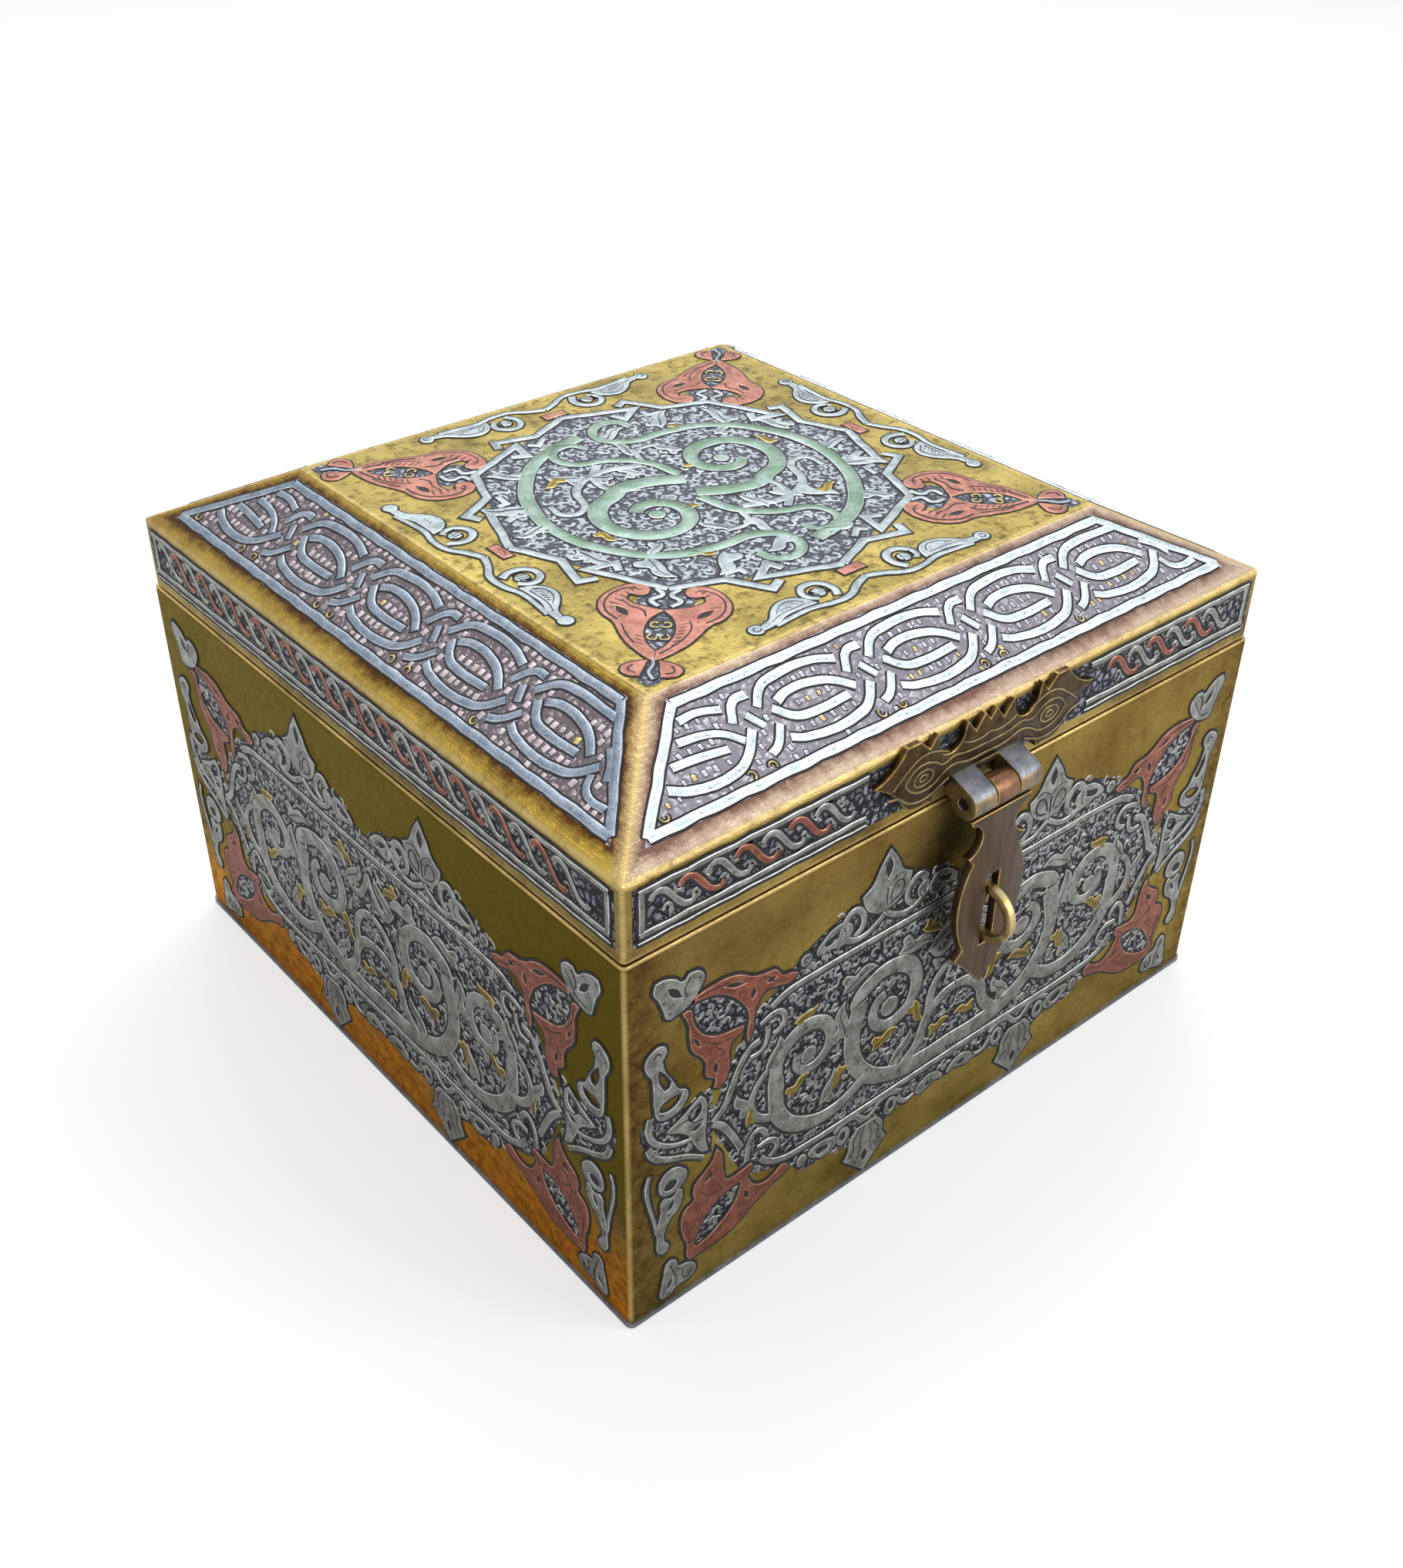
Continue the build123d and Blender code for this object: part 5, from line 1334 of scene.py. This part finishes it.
def draw_medallion_scroll(d):
    """Half of the medallion's scrolls: green ribbons that wind in and sweep round the edge."""
    inner = [(-2, -2.4), (2.6, -7.6), (9.4, -11)] + volute(15, 0.6, 11.6, 3.4, -108, 400, 14)
    d.strap("green", inner, 4.2, 2.6)
    d.plate("green", ring(14.6, 1.2, 1.7))
    outer = [
        (-8, -31.6), (4, -32.6), (15.6, -28.4), (25, -20.4), (31, -9.6), (31.8, 1.6), (28, 11.6),
        (20.4, 17.6), (12, 21.4), (9.6, 27), (13.6, 31.4), (18.8, 29.6), (18.6, 25.2),
    ]
    d.strap("green", outer, 3.4, 2)
    d.strap("top", [(-3, -13.2), (4, -18.4), (13.4, -18), (20.4, -11.8), (24, -13.6), (22.4, -18)], 2.2, 1.3)
    middle = [(3.4, 4.4), (4.8, 12.6), (1.6, 20), (-4, 25.6), (-2.2, 31.2), (3.4, 31), (4.2, 26.6)]
    d.strap("green", middle, 2.6, 1.5)
    d.strap("top", [(-1.6, 20.8), (-7.6, 17.6), (-9.6, 11.4), (-6.6, 7.4)], 1.9, 1.2)
    d.strap("top", [(4.8, 14), (8.8, 17.8), (13.8, 15.8)], 1.6, 1)
    for leaf in (
        (24.6, -21, -50, 9.6, 1), (35, -4, 84, 8.8, -1), (30.6, 8.4, 62, 9.6, -1),
        (21.4, 19.4, 30, 9.4, 1), (6, 17, 62, 7.4, -1), (14.6, -29.6, -70, 7.6, -1),
        (-9, -25.6, 190, 8.4, 1), (8, -19.4, -62, 8.4, 1), (-4.4, -30.4, -40, 7.4, -1),
        (0.6, -10.4, -96, 7.6, 1), (29, -14.6, -10, 7.6, 1), (14, 9.8, 100, 6.8, 1),
        (24.2, 8.2, 10, 6.6, -1), (-5, 14.6, 110, 7.2, 1),
    ):
        half_leaf(d, "top", *leaf)
    for leaf in (
        (10.2, -24.4, 10, 6, 1), (26.2, -4.6, 70, 5.4, -1), (11, 3.6, 150, 5, 1),
        (24.6, 13.6, 110, 5.6, -1),
    ):
        half_leaf(d, "gold", *leaf)


def top_drawing():
    """The whole ornament of the top plate."""
    d = Drawing()
    for k in range(8):
        angle = 45 * k + HALF_ANGLE
        middle = radians(angle)
        d.at(SIDE_MIDDLE * cos(middle), SIDE_MIDDLE * sin(middle), angle - 90)
        draw_knot(d)
    d.plates["ground"] = [[[(x, y, 1) for x, y in ring(0, 0, MEDALLION_RADIUS)]]]
    for k in range(4):
        side = radians(90 * k)
        for flip in (1, -1):
            d.at(TOP_HALF * sin(side), -TOP_HALF * cos(side), 90 * k, flip=flip)
            draw_side_scroll(d)
        d.at(TOP_HALF * sin(side), -TOP_HALF * cos(side), 90 * k)
        d.plate("copper", [(-2.7, 9.1, 1), (2.7, 9.1, 1), (2.7, 11.3, 1), (-2.7, 11.3, 1)])
        d.vein([(-1.6, 10.2), (0, 10.8), (1.6, 10.2)], 0.3)
        reach = TOP_HALF * 2**0.5
        angle = radians(45 + 90 * k)
        for tip in (1, -1):
            d.at(reach * cos(angle), reach * sin(angle), 225 + 90 * k, tip=tip)
            draw_palmette(d)
        d.at(reach * cos(angle), reach * sin(angle), 225 + 90 * k)
        for field in PALMETTE_FIELDS:
            d.plate("ground", field)
        d.strap("shade", [(4.4, -0.7), (6.8, 0.4), (9.4, -0.1), (12.6, 0.7)], 0.9, 0.6)
    for turn in (20, 200):
        d.at(0, 0, turn)
        draw_medallion_scroll(d)
    d.at()
    return d


MATERIALS = {}


class CASKET_OT_finishes(bpy.types.Operator):
    """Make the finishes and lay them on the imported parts"""

    bl_idname = "casket.finishes"
    bl_label = "Finishes"

    def execute(self, context):
        MATERIALS.update(all_materials(context.scene.casket_colours))
        finishes = {
            "wall": ("base_plate", "front_plate", "back_plate", "left_plate", "right_plate"),
            "lid": ("lid_front", "lid_back", "lid_left", "lid_right", "lid_top_plate"),
            "tin": ("base_solder",),
            "cedar": (
                "lining_floor", "lining_front", "lining_back",
                "lid_lining_front", "lid_lining_back", "lid_lining_panel",
            ),
            "cedar_side": ("lining_left", "lining_right", "lid_lining_left", "lid_lining_right"),
            "bronze": ("back_hinge_body_leaves", "back_hinge_lid_leaves"),
            "bronze_edge": ("back_hinge_body_rivets", "back_hinge_lid_rivets"),
            "iron": ("front_hinge_pin", "back_hinge_pins"),
        }
        for finish, names in finishes.items():
            for name in names:
                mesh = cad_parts[name].data
                mesh.materials.clear()
                mesh.materials.append(MATERIALS[finish])
        return {"FINISHED"}


LIP_HEIGHT = 0.85
LIP_WIDE = 0.95
LIP_SET_BACK = 0.04
LIP_SUNK = 0.02


def wall_lip():
    """The worn upper edge of the walls, a thin frame that narrows the seam to the line the eye sees."""
    made = bmesh.new()
    bmesh.ops.create_cube(made, size=1.0)
    side = 2 * (HALF - LIP_SET_BACK)
    middle = WALL_TOP + LIP_HEIGHT / 2
    bmesh.ops.scale(made, vec=(side, side, LIP_HEIGHT), verts=made.verts)
    bmesh.ops.translate(made, vec=(0, 0, middle - LIP_SUNK), verts=made.verts)
    upright = [e for e in made.edges if abs(e.verts[0].co.z - e.verts[1].co.z) > LIP_HEIGHT / 2]
    bmesh.ops.bevel(made, geom=upright, offset=1.0, segments=4, profile=0.5, affect="EDGES", material=-1)
    flat = [f for f in made.faces if abs(f.normal.z) > 0.9]
    bmesh.ops.inset_individual(made, faces=flat, thickness=LIP_WIDE, depth=0.0)
    bmesh.ops.delete(made, geom=flat, context="FACES_ONLY")
    bmesh.ops.bridge_loops(made, edges=[e for e in made.edges if e.is_boundary])
    upper = [e for e in made.edges if min(v.co.z for v in e.verts) > middle]
    sharp = [e for e in upper if e.calc_face_angle(0.0) > radians(60)]
    bmesh.ops.bevel(made, geom=sharp, offset=0.25, segments=3, profile=0.5, affect="EDGES", material=-1)
    bmesh.ops.recalc_face_normals(made, faces=made.faces)
    made.transform(Matrix.Scale(MM, 4))
    finish_piece("wall_lip", made, ("wall",), "body")


class CASKET_OT_walls(bpy.types.Operator):
    """Lay the silver and copper inlay and its ground on the four walls"""

    bl_idname = "casket.walls"
    bl_label = "Wall inlay"

    def execute(self, context):
        sizes = context.scene.casket_sizes
        drawing = wall_drawing()
        for field in GROUND_FIELDS:
            for flip in (-1, 1):
                part = Region([(flip * (HALF - x), y) for x, y, *_ in field])
                scatter_curls(drawing, part, *WALL_CURLS, GROUND_SEED + flip)
        groups = inlay_groups(drawing, sizes, ("silver", "copper", "gold"), "wall_ground", "silver")
        for side in SIDES:
            replaced = {"silver": (f"{side}_silver_frame",), "copper": (f"{side}_copper_leaves",)}
            lay_groups(f"{side}_wall", groups, WALLS[side], "body", replaced)
        wall_lip()
        return {"FINISHED"}


class CASKET_OT_slopes(bpy.types.Operator):
    """Lay the interlaced silver straps on the four slopes of the lid"""

    bl_idname = "casket.slopes"
    bl_label = "Slope inlay"

    def execute(self, context):
        sizes = context.scene.casket_sizes
        # The left slope takes a darker shaded copy of the silver and ground: a painted shade
        for metal, ground, curls, teeth, sides in (
            ("slope", "slope_ground", "pale", SMALL_TEETH, ("front", "right", "back")),
            ("shade", "shade_ground", "lump", LARGE_LUMPS, ("left",)),
        ):
            drawing = slope_drawing(metal, teeth)
            groups = inlay_groups(drawing, sizes, (metal, "gold"), ground, curls, SLOPE_LINES)
            for side in sides:
                lay_groups(f"{side}_slope", groups, SLOPES[side], "lid", {metal: (f"{side}_slope_strap",)})
        return {"FINISHED"}


class CASKET_OT_rims(bpy.types.Operator):
    """Lay the borders and S-shaped scrolls on the rim of the lid"""

    bl_idname = "casket.rims"
    bl_label = "Rim inlay"

    def execute(self, context):
        sizes = context.scene.casket_sizes
        for side in SIDES:
            gaps = [(LID_HALF + at - reach, LID_HALF + at + reach) for at, reach in COVERED.get(side, ())]
            drawing = rim_drawing(gaps)
            groups = inlay_groups(drawing, sizes, ("silver", "copper"), "rim_ground", "silver")
            lay_groups(f"{side}_rim", groups, RIMS[side], "lid", {"silver": (f"{side}_rim_border",)})
        return {"FINISHED"}


class CASKET_OT_top(bpy.types.Operator):
    """Lay the medallion, the silver sprays and the copper palmettes on the top"""

    bl_idname = "casket.top"
    bl_label = "Top inlay"

    def execute(self, context):
        sizes = context.scene.casket_sizes
        drawing = top_drawing()
        disc = Region(ring(0, 0, CURLS_RADIUS))
        scatter_curls(drawing, disc, *TOP_CURLS, GROUND_SEED + 2)
        metals = ("top", "green", "copper", "shade", "gold")
        groups = inlay_groups(drawing, sizes, metals, "top_ground", "top", TOP_LINES)
        groups["copper"] = [(groups["copper"][0][0], "pink_copper", "copper_edge")]
        replaced = {"top": ("medallion_strap",), "copper": ("top_copper_palmettes",)}
        lay_groups("lid_top", groups, TOP_FACE, "lid", replaced)
        return {"FINISHED"}


def plate_drawing():
    """Wavy lines cut in the ornamental plate, with a rosette near each end; x from its middle."""
    d = Drawing()
    for flip in (1, -1):
        d.at(0, 0, flip=flip)
        for points in (
            [(9.6, 4.9), (11.4, 4.2), (14, 3.2), (17, 3), (19.8, 4), (22, 5.8), (24.6, 6.4)],
            [(0, 6.3), (4.6, 6.3), (8.8, 7.2), (11.2, 6.5), (13.4, 5.2), (16, 4.8), (18.8, 5.8), (20.6, 7.8)],
            [(20.6, 7.8), (18.8, 9.8), (16, 10.4), (13.4, 9.6), (11.4, 8.4), (8.8, 9), (5.4, 8.4), (0, 8.2)],
            [(10.4, 10.6), (12.6, 11.6), (15.2, 12.3), (18, 12), (20.6, 10.4), (23.6, 8)],
            [(0, 10.4), (2.2, 9.9), (4.8, 10.2), (6.8, 11)],
        ):
            d.strap("cut", points, 0.42, 0.42)
        d.strap("cut", ring(16.2, 7.6, 2.4, 1.5, 8) + [(18.6, 7.6)], 0.4)
        d.strap("cut", ring(16.2, 7.6, 1, 0.6, 6) + [(17.2, 7.6)], 0.4)
    return d


# Creases sharper than this many degrees are worn round; faces at least this level count as upper ones
WORN_CREASE = 35
UPPER_FACE = 0.55


def worn_copy(node_name, name, body, finish, edge, bevel_mm, upper=None):
    """A packed fitting with its sharp edges rubbed round; its upper faces may have their own finish."""
    made = bmesh.new()
    made.from_mesh(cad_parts[node_name].data)
    bmesh.ops.remove_doubles(made, verts=made.verts, dist=1e-6)
    bmesh.ops.dissolve_limit(made, angle_limit=radians(1.0), verts=made.verts, edges=made.edges)
    for face in made.faces:
        face.material_index = 0
    limit = radians(WORN_CREASE)
    sharp = [e for e in made.edges if e.is_manifold and e.calc_face_angle() > limit]
    worn = bmesh.ops.bevel(
        made, geom=sharp, offset=bevel_mm * MM, offset_type="OFFSET", segments=2, profile=0.5,
        affect="EDGES", clamp_overlap=True, material=-1,
    )
    # The rounded edges take the lighter edge finish, worn and also a painted highlight
    for face in worn["faces"]:
        face.material_index = 1
    for face in made.faces:
        if upper and face.normal.z > UPPER_FACE:
            face.material_index = 2
    finishes = filter(None, (finish, edge, upper))
    finish_piece(name, made, finishes, body, (node_name,))


class CASKET_OT_fittings(bpy.types.Operator):
    """Round the worn edges of the hasp, the staple, the front hinge and the ornamental plate"""

    bl_idname = "casket.fittings"
    bl_label = "Fittings"

    def execute(self, context):
        for fitting in (
            ("lid_ornament_plate", "worn_ornament_plate", "lid", "plate_bronze", "plate_edge", 0.25),
            ("front_hinge_leaf", "worn_hinge_leaf", "lid", "barrel", "bronze_edge", 0.2, "tin"),
            ("hasp_knuckle", "worn_hasp_knuckle", "hasp", "coppery", "bronze_edge", 0.2),
            ("hasp_plate", "worn_hasp_plate", "hasp", "bronze", "bronze_edge", 0.3),
            ("staple", "worn_staple", "body", "pale_brass", "bronze_edge", 0.2),
        ):
            worn_copy(*fitting)
        plate_face = face_matrix("front", -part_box("lid_ornament_plate")[0].y / MM, SEAM)
        cut = plate_drawing().straps["cut"]
        black = (straps_mesh(cut, 0.05, 0.02, 0.4), "line", "line")
        pale = (straps_mesh(cut, 0.12, 0.1), "plate_line", "plate_line")
        lay_piece("ornament_plate_lines", [black, pale], plate_face, "lid")
        return {"FINISHED"}


# Camera of the photograph in millimetres and degrees, and the lamps in metres
CAMERA_PLACE = (-198.475, -236.443, 255.697)
CAMERA_TARGET = (15.2, 13.4, 27.7)
CAMERA_ROLL = 0.63
CAMERA_LENS = 39.08
LAMPS = (
    ("overhead_lamp", (0.35, 0.45, 0.9), (0, 0, 0.06), 0.9, 0.7, 6.5),
    ("front_lamp", (0.55, -0.8, 0.55), (0, 0, 0.05), 0.6, 0.6, 5.0),
    ("left_lamp", (-0.9, 0.5, 0.7), (0, 0, 0.1), 0.5, 0.4, 1.2),
)
TABLE_SIZE = 6.0


def soft_lamp(name, place, target, wide, high, power):
    """A large soft lamp that faces a point; all lengths in metres."""
    light = bpy.data.lights.new(name, "AREA")
    light.shape = "RECTANGLE"
    light.size = wide
    light.size_y = high
    light.energy = power
    lamp = bpy.data.objects.new(name, light)
    lamp.location = place
    lamp.rotation_mode = "QUATERNION"
    lamp.rotation_quaternion = (Vector(target) - Vector(place)).to_track_quat("-Z", "Y")
    bpy.context.scene.collection.objects.link(lamp)


class CASKET_OT_stage(bpy.types.Operator):
    """Set up the pale table, the soft light and the camera of the photograph"""

    bl_idname = "casket.stage"
    bl_label = "Stage"

    def execute(self, context):
        scene = context.scene
        scene.view_settings.view_transform = "Standard"
        bm = bmesh.new()
        bmesh.ops.create_grid(bm, x_segments=1, y_segments=1, size=TABLE_SIZE)
        mesh = bpy.data.meshes.new("table")
        bm.to_mesh(mesh)
        bm.free()
        table = bpy.data.objects.new("table", mesh)
        scene.collection.objects.link(table)
        made, tree = new_material("pale_table")[:2]
        seen = node(tree, "LightPath", {}, out="Is Camera Ray")
        shine = node(tree, "Math", {0: seen, 1: 0.6}, TIMES)
        grey = node(tree, "MapRange", {0: seen, 3: 0.85, 4: 0.45})
        paper = node(tree, "BsdfDiffuse", {"Color": grey})
        glow = node(tree, "Emission", {"Color": linear("#FFFFFF"), "Strength": shine})
        node(tree, "OutputMaterial", {"Surface": node(tree, "AddShader", {0: paper, 1: glow})})
        mesh.materials.append(made)

        world = bpy.data.worlds.new("soft_white")
        scene.world = world
        world.use_nodes = True
        tree = world.node_tree
        tree.nodes.clear()
        rays = node(tree, "LightPath", {}).node.outputs
        seen = node(tree, "Math", {0: rays["Is Camera Ray"], 1: rays["Is Glossy Ray"]}, MOST)
        strength = node(tree, "MapRange", {0: seen, 3: 0.6, 4: 0.95})
        sky = node(tree, "Background", {"Color": (0.97, 0.98, 1.0, 1.0), "Strength": strength})
        node(tree, "OutputWorld", {"Surface": sky})

        for lamp in LAMPS:
            soft_lamp(*lamp)

        lens = bpy.data.cameras.new("photo_camera")
        lens.lens = CAMERA_LENS
        lens.clip_start = 0.01
        camera = bpy.data.objects.new("photo_camera", lens)
        place = Vector(CAMERA_PLACE) * MM
        aim = Vector(CAMERA_TARGET) * MM - place
        camera.location = place
        camera.rotation_mode = "QUATERNION"
        roll = Quaternion((0, 0, 1), radians(CAMERA_ROLL))
        camera.rotation_quaternion = aim.to_track_quat("-Z", "Y") @ roll
        scene.collection.objects.link(camera)
        scene.camera = camera
        return {"FINISHED"}


STEPS = ("finishes", "walls", "slopes", "rims", "top", "fittings", "stage")


class CASKET_PT_panel(bpy.types.Panel):
    """Buttons and values of the casket"""

    bl_idname = "CASKET_PT_panel"
    bl_label = "Casket"
    bl_space_type = "VIEW_3D"
    bl_region_type = "UI"
    bl_category = "Casket"

    def draw(self, context):
        for step in STEPS:
            self.layout.operator(f"casket.{step}")
        for group in (context.scene.casket_sizes, context.scene.casket_colours):
            for name in group.__annotations__:
                self.layout.prop(group, name)


CLASSES = (
    CasketSizes, CasketColours, CASKET_OT_finishes, CASKET_OT_walls, CASKET_OT_slopes, CASKET_OT_rims,
    CASKET_OT_top, CASKET_OT_fittings, CASKET_OT_stage, CASKET_PT_panel,
)


def register():
    for cls in CLASSES:
        bpy.utils.register_class(cls)
    bpy.types.Scene.casket_sizes = PointerProperty(type=CasketSizes)
    bpy.types.Scene.casket_colours = PointerProperty(type=CasketColours)


def unregister():
    del bpy.types.Scene.casket_colours
    del bpy.types.Scene.casket_sizes
    for cls in reversed(CLASSES):
        bpy.utils.unregister_class(cls)


def main():
    register()
    for step in STEPS:
        getattr(bpy.ops.casket, step)()


if __name__ == "__main__":
    main()
